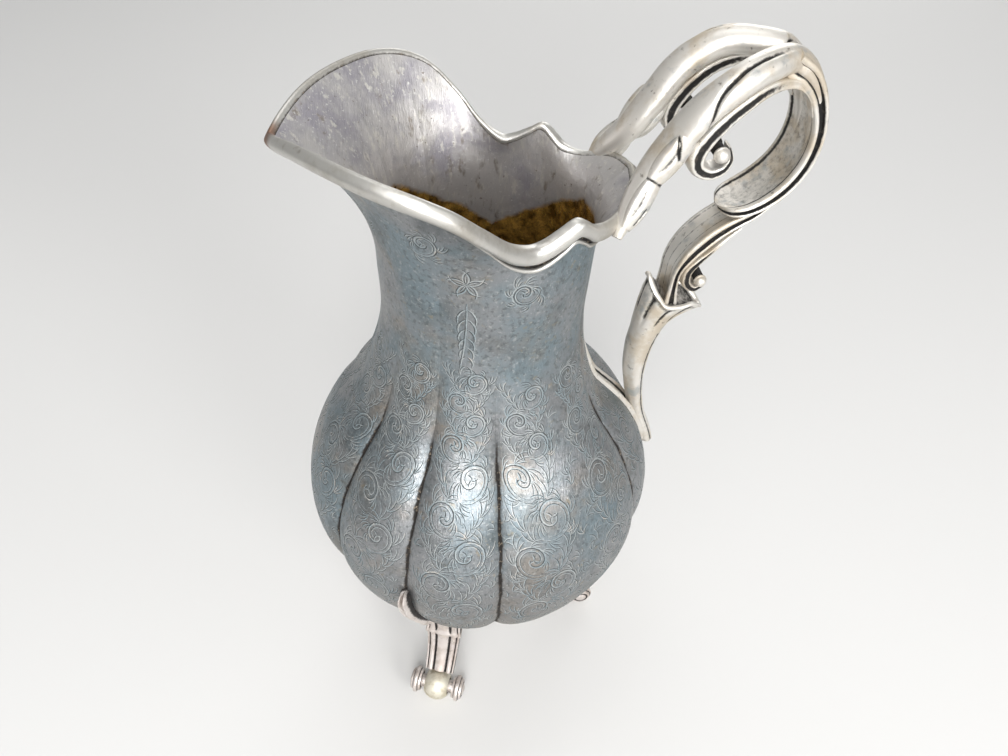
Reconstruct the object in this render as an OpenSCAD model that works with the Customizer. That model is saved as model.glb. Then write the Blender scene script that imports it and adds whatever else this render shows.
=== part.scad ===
// Silver cream jug: lobed pear body, wavy mouth, double scroll handle, three scroll feet.
// Millimetres. The origin is on the body's axis, on the table. +X is the handle, -X the spout.

/* [Body] */
// Radius of the belly at its widest
belly_r = 44; // [40:0.5:48]
// Height of the underside above the table
base_z = 29; // [27:0.5:31]
// Height where the plain neck turns into the mouth
neck_z = 139; // [136:0.5:142]
// Thickness of the raised sheet
wall = 0.9; // [0.7:0.1:1.2]
// Depth of the folds between the lobes at the belly
fold_depth = 2.1; // [0.5:0.1:2.4]
// Half width of a fold, in degrees of turn
fold_spread = 4.5; // [3:0.5:6]
// How far the two lobes under the handle are drawn in at the shoulder
rear_tuck = 2.8; // [0:0.1:3.2]

/* [Mouth] */
// How far the spout's tip stands from the axis
tip_reach = 38.6; // [36:0.2:41]
// Height of the tip above the neck line
tip_rise = 25.4; // [24:0.2:27]
// Height of the spout's crest above the neck line
crest_rise = 29.8; // [28:0.2:31]
// Height of the dip at each side above the neck line
dip_rise = 13.8; // [13:0.2:15]
// Height of the small peak at each side of the rear lobe above the neck line
peak_rise = 17.4; // [16.4:0.2:18]
// How far the rear lobe stands from the axis
rear_reach = 28; // [27:0.2:29]
// How late the mouth flares at the spout: 1 is straight, more is later
front_flare = 2.4; // [1.8:0.1:3]
// How late the mouth flares at the rear lobe
rear_flare = 4.6; // [3:0.1:5]

/* [Rim] */
// Height of the rounded rim moulding
rim_h = 3.6; // [3:0.1:4.2]
// How far the rim moulding stands out from the body
rim_t = 1.7; // [1.2:0.1:2.2]
// Diameter of the thin thread under the rim moulding
thread_d = 1; // [0.8:0.1:1.2]

/* [Handle] */
// Width of the ribbon at the loop
loop_w = 12.4; // [11:0.2:13]
// Thickness of the ribbon at the right of the loop
loop_t = 2.9; // [2.4:0.1:3.4]
// Width of one strand at its middle
strand_w = 7.2; // [6:0.1:7.6]
// Thickness of one strand at its middle
strand_t = 5.2; // [4.6:0.1:5.6]
// Width of the lower scroll
scroll_w = 9; // [8:0.2:10]
// Diameter of the beads in the strands' volutes
strand_bead_d = 3; // [2.6:0.1:3.1]
// Diameter of the bead in the lower scroll's volute
scroll_bead_d = 2.8; // [2.4:0.1:2.9]

/* [Feet] */
// Turn of the two front feet from the handle
foot_turn = 118; // [114:1:122]
// Turn that the two front feet face
foot_face = 110; // [104:1:122]
// How far the balls of the feet stand from the axis
foot_reach = 34; // [32:0.2:35]
// Diameter of the ball of a foot
ball_d = 9; // [8:0.1:9.2]
// Diameter of the scrolls at each side of the ball
toe_d = 7.4; // [6.6:0.1:7.8]
// Length from the end of one scroll to the end of the other
toe_len = 15.4; // [15.2:0.2:16.4]
// Thickness of each scroll
toe_t = 3; // [2.6:0.1:3.1]
// Width of the reeded stem at its top
stem_w = 9.8; // [8.6:0.2:10.4]

/* [Hidden] */
$fn = 48;
worn_silver = "#8f979b";
bright_silver = "#d2d3d0";
// Soldered faces stand this far apart
solder = 0.05;
// Turns at which the body is cut, within each twelfth of it: close to the folds, wider between them
cuts = [0, 2.5, 10, 15, 20, 27.5];
// Folds: one under the handle, then in pairs that leave three wide lobes
folds = [0, 30, 90, 120, 150, 210, 240, 270, 330];
// Body outline from the underside to the neck: part of belly_r, part of the way from base_z to neck_z
outline = [
    [0.27, 0.006], [0.51, 0.06], [0.735, 0.126], [0.91, 0.224], [1, 0.345], [0.975, 0.465],
    [0.845, 0.585], [0.665, 0.686], [0.56, 0.785], [0.507, 0.885], [0.508, 1]
];
outline_steps = 2;
mouth_steps = 6;
// Mouth edge from the handle forward to the tip: turn, reach, rise above the neck line
edge_path = [
    [0, rear_reach, dip_rise + 3.2], [15, rear_reach - 0.7, dip_rise + 2],
    [30, rear_reach - 3, dip_rise - 0.2], [40, 23.3, dip_rise + 0.2], [46, 22.7, peak_rise - 1.6],
    [53, 22.5, peak_rise], [60, 21.6, peak_rise - 1.5], [68, 21, dip_rise + 0.5],
    [76, 20.9, dip_rise], [88, 23.3, dip_rise + 2.6], [99, 27.2, dip_rise + 8],
    [110, 30.3, crest_rise - 3], [125, 32, crest_rise - 0.4], [145, 33, crest_rise],
    [163, 35.2, crest_rise - 1.2], [180, tip_reach, tip_rise]
];
edge_steps = 8;
// Strand centreline on the right side: x, y, z, share of strand_w, share of strand_t
strand_path = [
    [22.4, 14, 150.2, 0.3, 0.34], [25, 11.1, 154.7, 0.7, 0.74], [28.5, 8.5, 160.4, 0.92, 0.92],
    [32.2, 7.9, 166.3, 1, 0.98], [36, 8.3, 171.9, 1, 1], [40.7, 8.1, 176, 0.96, 1],
    [45.3, 6.6, 178.3, 0.9, 1], [51.4, 3.3, 178.6, 0.86, 1]
];
// Loop centreline: x, z, share of loop_w, share of loop_t
loop_path = [
    [51.5, 178.3, 1.04, 1.95], [55.2, 176.2, 1.02, 1.65], [58.2, 172.6, 1, 1.3], [60.2, 168, 1, 1.05],
    [60.9, 163.4, 1, 1], [60.3, 158.8, 1, 1], [58.3, 154.6, 1, 1], [55.2, 151.3, 1, 0.95],
    [51.8, 149.2, 0.96, 0.85], [49.2, 148.2, 0.8, 0.75], [47.8, 147.8, 0.55, 0.6], [47.1, 147.6, 0.2, 0.4]
];
// Lower scroll centreline from below the loop to the cap: x, z, share of scroll_w, thickness
scroll_path = [
    [57.2, 149.9, 0.9, 1.2], [54, 147.4, 1, 2], [50.8, 145.4, 1, 2.6], [47.8, 143.2, 1, 3],
    [45.1, 140.5, 1, 3.2], [42.6, 137.2, 0.98, 2.8], [40.9, 133.4, 0.95, 1.9], [40.8, 129, 0.92, 2.2],
    [41.1, 124.8, 0.9, 3.4]
];
// Strap under the lower scroll into its curl: x, z, share of scroll_w, thickness
curl_path = [
    [52.6, 143.5, 0.7, 0.7], [49.2, 140.7, 0.9, 1], [46.8, 138, 0.95, 1.4], [44.9, 135.8, 0.95, 2],
    [43.3, 133.3, 0.95, 2.5], [43.5, 130.4, 0.95, 2.4], [45.4, 128.7, 0.92, 2], [47.4, 129.5, 0.85, 1.3]
];
// Volute strap from the loop's inner edge along the underside of a strand into its curl:
// x, y, z, share of volute_w, thickness
volute_side = 8.6;
volute_path = [
    [58.4, 4.6, 168.8, 0.5, 0.8], [57, 4.7, 172, 0.55, 1.2], [54.2, 4.9, 174.6, 0.6, 1.6],
    [50.4, 5.6, 175.4, 0.7, 2.2], [46.4, 7, 174.9, 0.85, 2.6], [43, 8.1, 173.2, 0.97, 2.8],
    [40.2, 8.5, 170.8, 1, 3], [37.8, volute_side, 167.8, 1, 3.2], [36.2, volute_side, 164.6, 1, 3.4],
    [36.6, volute_side, 161.8, 1, 3], [39, volute_side, 160.5, 1, 2.5],
    [41.4, volute_side, 161.3, 0.97, 2], [42.4, volute_side, 163.4, 0.93, 1.6],
    [41.8, volute_side, 165.6, 0.9, 1.4]
];
volute_w = 4.6;
// Eye of the volute: x, z
bead_place = [40.2, 164.6];
// Eye of the lower scroll's volute: x, z
curl_eye = [46.2, 131.3];
// Middle of the cap's opening: x, z, then its side reach and the reach and rise of its two tips
cap_centre = [41.2, 125.4];
cap_side = 4.9;
cap_left = [5.2, 4.6];
cap_right = [8.2, -4.4];
// Stem from the body up to the cap, in level slices: z, x, half depth, half width
stem_path = [
    [76, 44.9, 1.8, 2.4], [81, 42.9, 2.2, 2.6], [88, 40.2, 2.1, 2.5], [95.5, 38.4, 2.3, 2.6],
    [103, 37.3, 2.8, 2.8], [110, 37.3, 3.3, 3.1], [115.4, 38.1, 3.7, 3.5]
];
// Wishbone terminal on the body: z, half width, thickness
terminal_path = [
    [71, 0.8, 0.8], [74.5, 2.3, 1.5], [80, 3.3, 2], [88, 3.2, 1.9], [98, 2.7, 1.6], [107, 2, 1.2],
    [113, 0.8, 0.6]
];
// Leaf on the knee of a foot, in the body's fold: z, half width, thickness
knee_turn = 120;
foot_leaf_path = [
    [39, 2.4, 5.2], [45, 2, 4], [50, 1.7, 3], [55, 1.5, 2.6], [60, 1.5, 2.7], [65, 1.5, 3], [69, 1.3, 3.2],
    [71, 0.9, 2.4]
];
// Foot stem from the underside to the toe: reach, height, share of stem_w, depth
foot_stem_path = [
    [27.8, 37.5, 1.04, 6.6], [25.6, 32.5, 1.04, 6], [24.4, 27, 1.02, 5.6], [24.6, 21, 1, 5.2],
    [26.2, 15.4, 0.94, 5], [28.6, 10.8, 0.9, 4.8], [30.8, 7.8, 0.88, 4.4]
];
reeds = 5;
reed_depth = 0.8;
// The front feet turn on this reach
foot_pivot = 24;
ball_flat = 0.2;

// Spline through a list of points, kept on the end points
function knot(p, i) = let (last = len(p) - 1)
    i < 0 ? 2 * p[0] - p[1] : i > last ? 2 * p[last] - p[last - 1] : p[i];
function between(a, b, c, d, t) =
    b + 0.5 * t * (c - a + t * (2 * a - 5 * b + 4 * c - d + t * (3 * b - a - 3 * c + d)));
function spline(p, n) = concat(
    [for (i = [0:len(p) - 2], k = [0:n - 1])
        between(knot(p, i - 1), p[i], p[i + 1], knot(p, i + 2), k / n)],
    [p[len(p) - 1]]
);
function unit(v) = v / norm(v);
function smooth(a, b, x) = let (t = min(1, max(0, (x - a) / (b - a)))) t * t * (3 - 2 * t);
function polar(r, turn, z) = [r * cos(turn), r * sin(turn), z];

// The body's sheet
body_h = neck_z - base_z;
profile = spline([for (p = outline) [p[0] * belly_r, base_z + p[1] * body_h]], outline_steps);
profile_reach = [for (p = profile) [p[1], p[0]]];
neck_r = profile[len(profile) - 1][0];
mouth_edge = spline(edge_path, edge_steps);
edge_reach = [for (p = mouth_edge) [p[0], p[1]]];
edge_rise = [for (p = mouth_edge) [p[0], p[2]]];
function side_turn(turn) = abs((turn + 540) % 360 - 180);
function near_fold(turn) = min([for (f = folds) abs((turn - f + 900) % 360 - 180)]);
// Share of the rear tuck: none at the belly, most at the shoulder, little at the neck
tuck_levels = [[84, 0], [92, 0.3], [102, 1], [112, 0.6], [125, 0.25], [neck_z, 0.2]];
function tuck(turn, z) = rear_tuck * lookup(z, tuck_levels) * (1 - smooth(10, 34, side_turn(turn)));
function fold_share(z) = smooth(base_z, base_z + 22, z) * (1 - 0.86 * smooth(96, 124, z));
function fold_cut(turn, z) = fold_depth * fold_share(z) * exp(-near_fold(turn) / fold_spread);
function cut_in(turn, z) = fold_cut(turn, z) + tuck(turn, z);
function body_reach(turn, z) = lookup(z, profile_reach) - cut_in(turn, z);
function flare(turn) = rear_flare + (front_flare - rear_flare) * smooth(50, 110, side_turn(turn));
function mouth_line(turn) = let (
    reach = lookup(side_turn(turn), edge_reach),
    rise = lookup(side_turn(turn), edge_rise)
) [for (k = [1:mouth_steps]) let (v = k / mouth_steps) [
    neck_r + (reach - neck_r) * pow(v, flare(turn)) - (1 - v) * cut_in(turn, neck_z),
    neck_z + rise * v
]];
function meridian(turn) = concat([for (p = profile) [p[0] - cut_in(turn, p[1]), p[1]]], mouth_line(turn));
// Outward normal of an outline in its own plane at point i
function outward(m, i) = let (t = unit(m[min(i + 1, len(m) - 1)] - m[max(i - 1, 0)])) [t[1], -t[0]];
turns = [for (k = [0:11], c = cuts) 30 * k + c];
body_sides = len(turns);
meridians = [for (t = turns) meridian(t)];
top = len(meridians[0]) - 1;
// The inner face takes every other ring below the neck
inner_rings = [for (i = [top:-1:0]) if (i >= len(profile) || i % 2 == 0) i];

// Triangles between rings of equal count, each ring's points going the same way round
function wrap_faces(rings, n, closed) = [
    for (i = [0:rings - (closed ? 1 : 2)], j = [0:n - 1])
        let (near = i * n, far = (i + 1) % rings * n, k = (j + 1) % n)
            each [[near + j, far + k, near + k], [near + j, far + j, far + k]]
];
// A ring's cap joins each point with the one across it, so hollow sections close too
function cap_faces(first, n, flip) = [
    for (j = [0:n / 2 - 2]) let (a = first + j, b = a + 1, c = first + n - 2 - j, d = c + 1)
        each flip ? [[a, c, b], [a, d, c]] : [[a, b, c], [a, c, d]]
];
module loft(rings, closed = false) {
    n = len(rings[0]);
    last = (len(rings) - 1) * n;
    ends = closed ? [] : concat(cap_faces(0, n, false), cap_faces(last, n, true));
    polyhedron([for (r = rings) each r], concat(wrap_faces(len(rings), n, closed), ends));
}
function along(p, i) = unit(p[min(i + 1, len(p) - 1)] - p[max(i - 1, 0)]);
// Place, side direction and outward direction at point i of a path in space
function frame_at(p, i) = let (
    t = along([for (q = p) [q[0], q[1], q[2]]], i),
    side = unit([0, 1, 0] - t[1] * t)
) [[p[i][0], p[i][1], p[i][2]], side, cross(t, side)];

// Ring of a cross section, given as [side, outward] pairs, at point i of a path in the X, Z plane
function level_ring(p, i, section) = let (t = along([for (q = p) [q[0], q[1]]], i))
    [for (s = section) [p[i][0] - t[1] * s[1], s[0], p[i][1] + t[0] * s[1]]];
function oval(a, b, n) = [for (k = [0:n - 1]) [a * cos(k * 360 / n), b * sin(k * 360 / n)]];

// The jug's raised body, open at the mouth
module body() {
    outer = [for (i = [0:top]) [for (j = [0:body_sides - 1])
        polar(meridians[j][i][0], turns[j], meridians[j][i][1])]];
    inner = [for (i = inner_rings) [for (j = [0:body_sides - 1])
        let (m = meridians[j], p = m[i] - wall * outward(m, i)) polar(p[0], turns[j], p[1])]];
    color(worn_silver) loft(concat(outer, inner));
}

// A wire that follows the mouth's edge: its section is [down from the edge, out from the sheet] pairs
module edge_wire(section) {
    rings = [for (j = [0:body_sides - 1])
        let (m = meridians[j], up = unit(m[top] - m[top - 1]), out = [up[1], -up[0]])
            [for (s = section) let (p = m[top] - s[0] * up + s[1] * out) polar(p[0], turns[j], p[1])]];
    loft(rings, true);
}

// Rounded moulding that hooks over the edge of the mouth
module rim_moulding() {
    hook = 0.9;
    color(bright_silver) edge_wire([
        [rim_h - hook, solder * 3], [rim_h * 0.6, rim_t * 0.8], [rim_h * 0.3, rim_t], [0, rim_t * 0.85],
        [-hook, rim_t * 0.3], [-hook * 0.95, -wall * 0.7], [-hook * 0.3, -wall * 1.1],
        [-solder, -wall], [-solder, solder * 3]
    ]);
}

// Thin thread below the moulding
module rim_thread() {
    low = rim_h - 0.7;
    color(bright_silver) edge_wire([
        [low + thread_d, solder * 4], [low + thread_d * 0.8, thread_d * 0.7],
        [low + thread_d * 0.3, thread_d * 0.7], [low, solder * 4]
    ]);
}

// One strand of the handle, on the +Y side
strand_steps = 3;
strand_sides = 14;
strand_line = spline(strand_path, strand_steps);
function strand_frame(i) = let (p = strand_line[i])
    concat(frame_at(strand_line, i), [p[3] * strand_w / 2, p[4] * strand_t / 2]);
function strand_point(f, turn, out) =
    f[0] + f[1] * (f[3] + out) * cos(turn) + f[2] * (f[4] + out) * sin(turn);
// A groove climbs from the underside to the outer side: share of the way, turn
groove_way = [[0, -70], [0.5, -75], [0.56, -30], [0.62, 40], [0.7, 64], [1, 64]];
groove_spread = 22;
groove_cut = 0.6;
function strand_groove(turn, s) = -groove_cut * exp(-pow((turn - lookup(s, groove_way)) / groove_spread, 2));
module strand() {
    last = len(strand_line) - 1;
    rings = [for (i = [0:last]) let (f = strand_frame(i))
        [for (k = [0:strand_sides - 1]) let (turn = k * 360 / strand_sides - 180)
            strand_point(f, turn, strand_groove(turn, i / last) * f[4] * 2 / strand_t)]];
    color(bright_silver) loft(rings);
}

// Lobed leaf wrapped round the outer and lower side of a strand
leaf_first = 1;
leaf_last = 10;
leaf_lobes = 2;
leaf_t = 0.7;
leaf_arc = 8;
// How much further the lobes stand out below the strand than beside it
leaf_hang = 0.2;
function leaf_out(turn, t) = t * (1 + leaf_hang * max(0, -sin(turn))) + solder;
module strand_leaf() {
    rings = [for (i = [leaf_first:leaf_last]) let (
        f = strand_frame(i),
        s = (i - leaf_first) / (leaf_last - leaf_first),
        swell = abs(sin(180 * leaf_lobes * s)),
        from = -100 - 40 * swell,
        to = 40 + 15 * swell,
        around = [for (k = [0:leaf_arc]) from + (to - from) * k / leaf_arc],
        t = leaf_t * (0.35 + 0.9 * swell)
    ) concat(
        [for (a = around) strand_point(f, a, leaf_out(a, t))],
        [for (k = [leaf_arc:-1:0]) strand_point(f, around[k], solder)]
    )];
    color(bright_silver) loft(rings);
}

// Curled strap under a strand
volute_line = spline(volute_path, 2);
module strand_volute() {
    rings = [for (i = [0:len(volute_line) - 1])
        let (f = frame_at(volute_line, i), p = volute_line[i])
            [for (s = oval(p[3] * volute_w / 2, p[4] / 2, 10)) f[0] + f[1] * s[0] + f[2] * s[1]]];
    color(bright_silver) loft(rings);
}

// Pin along Y with a domed eye at each end
module eye_pin(x, y, z, d, length) {
    color(bright_silver) translate([x, y, z]) rotate([90, 0, 0]) {
        cylinder(h = length, d = d, center = true);
        for (side = [-1, 1]) translate([0, 0, side * length / 2]) sphere(d = d * 0.9);
    }
}

// Bead held in the curl
module volute_bead() {
    eye_pin(bead_place[0], volute_side, bead_place[1], strand_bead_d, volute_w);
}

// Broad ribbon, crowned outside and hollowed inside, that ends in a rounded tongue
loop_line = spline(loop_path, 3);
function ribbon(w, t) = [
    [w * 0.5, t * 0.15], [w * 0.37, t * 0.44], [w * 0.14, t * 0.5],
    [-w * 0.14, t * 0.5], [-w * 0.37, t * 0.44], [-w * 0.5, t * 0.15],
    [-w * 0.5, -t * 0.35], [-w * 0.41, -t * 0.5], [-w * 0.2, -t * 0.2],
    [w * 0.2, -t * 0.2], [w * 0.41, -t * 0.5], [w * 0.5, -t * 0.35]
];
module handle_loop() {
    rings = [for (i = [0:len(loop_line) - 1])
        level_ring(loop_line, i, ribbon(loop_line[i][2] * loop_w, loop_line[i][3] * loop_t))];
    color(bright_silver) loft(rings);
}

// Ribbon below the tongue
scroll_line = spline(scroll_path, 2);
module lower_scroll() {
    rings = [for (i = [0:len(scroll_line) - 1])
        level_ring(scroll_line, i, ribbon(scroll_line[i][2] * scroll_w, scroll_line[i][3]))];
    color(bright_silver) loft(rings);
}

// Strap under the lower scroll that curls round its bead
curl_line = spline(curl_path, 2);
module scroll_volute() {
    rings = [for (i = [0:len(curl_line) - 1])
        level_ring(curl_line, i, oval(curl_line[i][2] * scroll_w / 2, curl_line[i][3] / 2, 12))];
    color(bright_silver) loft(rings);
}
module scroll_bead() {
    eye_pin(curl_eye[0], 0, curl_eye[1], scroll_bead_d, scroll_w * 0.95);
}

// Leaf-shaped socket between the scroll and the stem, spread from the stem's end to its two tips
module leaf_cap() {
    sides = 20;
    stem_end = stem_path[len(stem_path) - 1];
    seat_drop = 1.4;
    function tip(turn) = [
        cap_centre[0] + (cos(turn) > 0 ? cap_right[0] : cap_left[0]) * cos(turn),
        cap_side * sin(turn),
        cap_centre[1] + (cos(turn) > 0 ? cap_right[1] : cap_left[1]) * pow(abs(cos(turn)), 3)
    ];
    function low(turn) = [
        stem_end[1] + stem_end[2] * cos(turn), stem_end[3] * sin(turn), stem_end[0] + solder
    ];
    function seat(turn) = [
        cap_centre[0] + 0.55 * cap_side * cos(turn), 0.8 * cap_side * sin(turn), cap_centre[1] - seat_drop
    ];
    around = [for (k = [0:sides - 1]) k * 360 / sides];
    rise = [0, 0.3, 0.6, 0.85, 1];
    spread = [0, 0.12, 0.34, 0.68, 1];
    rings = concat(
        [for (k = [0:len(rise) - 1]) [for (t = around) let (a = low(t), d = tip(t) - a)
            a + [d[0] * spread[k], d[1] * spread[k], d[2] * rise[k]]]],
        [[for (t = around) seat(t)]]
    );
    color(bright_silver) loft(rings);
}

// Plain stem in level slices, cut to lie on the terminal
stem_line = spline(stem_path, 3);
terminal_line = spline(terminal_path, 3);
terminal_depth = [for (p = terminal_line) [p[0], p[2]]];
function terminal_face(z) = body_reach(0, z) + lookup(z, terminal_depth);
module handle_stem() {
    rings = [for (p = stem_line) [for (s = oval(p[2], p[3], 14))
        [max(p[1] + s[0], terminal_face(p[0]) + solder), s[1], p[0]]]];
    color(bright_silver) loft(rings);
}

// Near a strap's edges its face follows the body out of the fold
follow = 0.7;
function strap_face(turn, a, z) =
    body_reach(turn, z) + follow * max(0, body_reach(a, z) - body_reach(turn, z)) + 2 * solder;
// A strap that lies on the body in a fold: path of [z, half width, thickness]
module body_strap(path, turn) {
    crown = [0.35, 0.85, 1, 0.85, 0.35];
    last = len(crown) - 1;
    rings = [for (p = path) let (
        half = p[1] / body_reach(turn + fold_spread, p[0]) * 180 / PI,
        across = [for (k = [0:last]) turn + half * (2 * k / last - 1)]
    ) concat(
        [for (k = [0:last]) polar(strap_face(turn, across[k], p[0]) + p[2] * crown[k], across[k], p[0])],
        [for (k = [last:-1:0]) polar(body_reach(across[k], p[0]) + solder, across[k], p[0])]
    )];
    loft(rings);
}

module handle_terminal() {
    color(bright_silver) body_strap(terminal_line, 0);
}

module foot_leaf(turn) {
    color(worn_silver) body_strap(spline(foot_leaf_path, 2), turn);
}

// Sets a foot, built along +X, under the body: where it stands and which way it faces
module set_foot(turn, face) {
    translate(polar(foot_pivot, turn, 0)) rotate([0, 0, face]) translate([-foot_pivot, 0, 0]) children();
}

// Reeded stem whose top follows the underside
foot_stem_line = spline(foot_stem_path, 2);
underside = [for (p = profile) if (p[1] < base_z + 0.3 * body_h) p];
function reeded(w, d) = concat(
    [for (k = [0:2 * reeds]) [w * (0.5 - k / (2 * reeds)), d * 0.5 - (k % 2 == 0 ? reed_depth : 0)]],
    [for (k = [2 * reeds:-1:0]) [w * (0.44 - 0.88 * k / (2 * reeds)), -d * 0.5]]
);
module foot_stem() {
    rings = [for (i = [0:len(foot_stem_line) - 1])
        level_ring(foot_stem_line, i, reeded(foot_stem_line[i][2] * stem_w, foot_stem_line[i][3]))];
    seat = [for (q = rings[0]) [q[0], q[1], lookup(norm([q[0], q[1]]), underside) - 2 * solder]];
    below = [for (i = [1:len(rings) - 1]) rings[i]];
    color(worn_silver) loft(concat([seat], below));
}

// Bar across the toe, with a ringed scroll and an eye at each end
ball_z = ball_d / 2 - ball_flat;
bar_d = toe_d * 0.5;
module toe_bar(d, length) {
    translate([foot_reach, 0, ball_z]) rotate([90, 0, 0]) cylinder(h = length, d = d, center = true);
}
module foot_scroll() {
    ring_t = toe_t * 0.3;
    eye_grow = 1.3;
    color(worn_silver) {
        toe_bar(bar_d, toe_len);
        for (side = [-1, 1]) translate([0, side * (toe_len - toe_t) / 2, 0]) {
            toe_bar(toe_d, toe_t - 2 * ring_t);
            toe_bar(toe_d * 0.8, toe_t);
            translate([foot_reach, side * (toe_t - bar_d) / 2, ball_z]) sphere(d = bar_d * eye_grow);
        }
    }
}

// Ball strung on the bar, worn flat where it stands
module foot_ball() {
    color(bright_silver) difference() {
        translate([foot_reach, 0, ball_z]) sphere(d = ball_d);
        toe_bar(bar_d + 2 * solder, toe_len);
        translate([foot_reach, 0, -ball_d / 2]) cube(ball_d, center = true);
    }
}

body();
rim_moulding();
rim_thread();
strand();  // strand_right
mirror([0, 1, 0]) strand();  // strand_left
strand_leaf();  // strand_leaf_right
mirror([0, 1, 0]) strand_leaf();  // strand_leaf_left
strand_volute();  // strand_volute_right
mirror([0, 1, 0]) strand_volute();  // strand_volute_left
volute_bead();  // volute_bead_right
mirror([0, 1, 0]) volute_bead();  // volute_bead_left
handle_loop();
lower_scroll();
scroll_volute();
scroll_bead();
leaf_cap();
handle_stem();
handle_terminal();
foot_leaf(0);  // foot_leaf_rear
foot_leaf(knee_turn);  // foot_leaf_right
foot_leaf(-knee_turn);  // foot_leaf_left
set_foot(0, 0) foot_stem();  // foot_stem_rear
set_foot(foot_turn, foot_face) foot_stem();  // foot_stem_right
set_foot(-foot_turn, -foot_face) foot_stem();  // foot_stem_left
set_foot(0, 0) foot_scroll();  // foot_scroll_rear
set_foot(foot_turn, foot_face) foot_scroll();  // foot_scroll_right
set_foot(-foot_turn, -foot_face) foot_scroll();  // foot_scroll_left
set_foot(0, 0) foot_ball();  // foot_ball_rear
set_foot(foot_turn, foot_face) foot_ball();  // foot_ball_right
set_foot(-foot_turn, -foot_face) foot_ball();  // foot_ball_left
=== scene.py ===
"""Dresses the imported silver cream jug: lobed body, wavy rim, scroll handle, reeded feet and engraving."""
import logging
import math
from dataclasses import dataclass, field
from enum import Enum
from typing import Callable, Sequence

import bpy
import numpy as np
from mathutils import Matrix


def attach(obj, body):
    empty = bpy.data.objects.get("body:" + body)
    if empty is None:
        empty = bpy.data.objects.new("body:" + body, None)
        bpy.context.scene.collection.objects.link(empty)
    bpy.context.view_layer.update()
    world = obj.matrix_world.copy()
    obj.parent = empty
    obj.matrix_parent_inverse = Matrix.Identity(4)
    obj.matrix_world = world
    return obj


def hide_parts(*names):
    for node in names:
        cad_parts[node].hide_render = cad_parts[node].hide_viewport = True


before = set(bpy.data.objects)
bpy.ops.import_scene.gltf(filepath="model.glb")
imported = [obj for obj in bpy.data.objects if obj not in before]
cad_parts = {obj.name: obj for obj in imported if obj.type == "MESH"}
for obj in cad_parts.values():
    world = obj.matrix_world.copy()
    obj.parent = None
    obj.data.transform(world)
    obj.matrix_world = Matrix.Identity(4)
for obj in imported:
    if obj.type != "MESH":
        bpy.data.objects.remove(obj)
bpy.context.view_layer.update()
LOG = logging.getLogger("cream_jug")
# Sizes in this file are millimetres, and meshes are written in metres
MM = 0.001
# Degrees in a radian, to turn degrees into millimetres round the body
ARC = 57.3
# Rows of numbers along a path or an outline
Rows = tuple[tuple[float, ...], ...]


class Ends(Enum):
    """How the first and last ring of a lofted skin are finished."""

    CAPPED = "capped"
    JOINED = "joined"


class Side(Enum):
    """Side of the jug, as the sign of Y, with the ending of its node names."""

    RIGHT = 1
    LEFT = -1

    @property
    def ending(self) -> str:
        """Ending of the names of this side's nodes."""
        return self.name.lower()


class Slot(Enum):
    """Material slots of the record."""

    BODY = "body_silver"
    CAST = "cast_silver"
    FOOT = "foot_silver"


def linear(code: str) -> tuple[float, float, float, float]:
    """Turns an sRGB hex colour into linear values.

    Args:
        code: six hex digits after a hash sign.

    Returns:
        Linear red, green, blue and an alpha of 1.
    """
    values = [int(code[i:i + 2], 16) / 255 for i in (1, 3, 5)]
    red, green, blue = (v / 12.92 if v <= 0.04045 else ((v + 0.055) / 1.055) ** 2.4 for v in values)
    return red, green, blue, 1.0


def unit(vectors: np.ndarray) -> np.ndarray:
    """Scales vectors to length 1."""
    return vectors / np.linalg.norm(vectors, axis=-1, keepdims=True)


def smooth(low: float, high: float, x: np.ndarray | float) -> np.ndarray:
    """Smooth step from 0 at low to 1 at high."""
    t = np.clip((np.asarray(x, float) - low) / (high - low), 0, 1)
    return t * t * (3 - 2 * t)


def bump(x: np.ndarray | float, centre: float | np.ndarray, spread: float) -> np.ndarray:
    """Rounded peak of height 1 at centre."""
    return np.exp(-((np.asarray(x, float) - centre) / spread) ** 2)


def spline(points: Sequence[Sequence[float]], steps: int) -> np.ndarray:
    """Passes a smooth curve through points.

    Args:
        points: rows of values that the curve meets.
        steps: samples for each span.

    Returns:
        Rows of the curve, the last point included.
    """
    p = np.asarray(points, float)
    padded = np.vstack([2 * p[0] - p[1], p, 2 * p[-1] - p[-2]])
    t = (np.arange(steps) / steps)[:, None]
    spans = [
        b + 0.5 * t * (c - a + t * (2 * a - 5 * b + 4 * c - d + t * (3 * b - a - 3 * c + d)))
        for a, b, c, d in zip(padded, padded[1:], padded[2:], padded[3:])
    ]
    return np.vstack([*spans, p[-1:]])


def in_plane(rows: Sequence[Sequence[float]]) -> list[list[float]]:
    """Puts a Y of 0 between the X and Z of each row."""
    return [[row[0], 0.0, *row[1:]] for row in rows]


def frames(path: np.ndarray) -> tuple[np.ndarray, np.ndarray, np.ndarray]:
    """Works out the directions along a path.

    Args:
        path: rows that start with x, y, z.

    Returns:
        Places, sideways directions and outward directions.
    """
    place = path[:, :3]
    step = np.vstack([place[1] - place[0], place[2:] - place[:-2], place[-1] - place[-2]])
    along = unit(step)
    side = unit(np.array([0.0, 1.0, 0.0]) - along[:, 1:2] * along)
    return place, side, np.cross(along, side)


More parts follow.
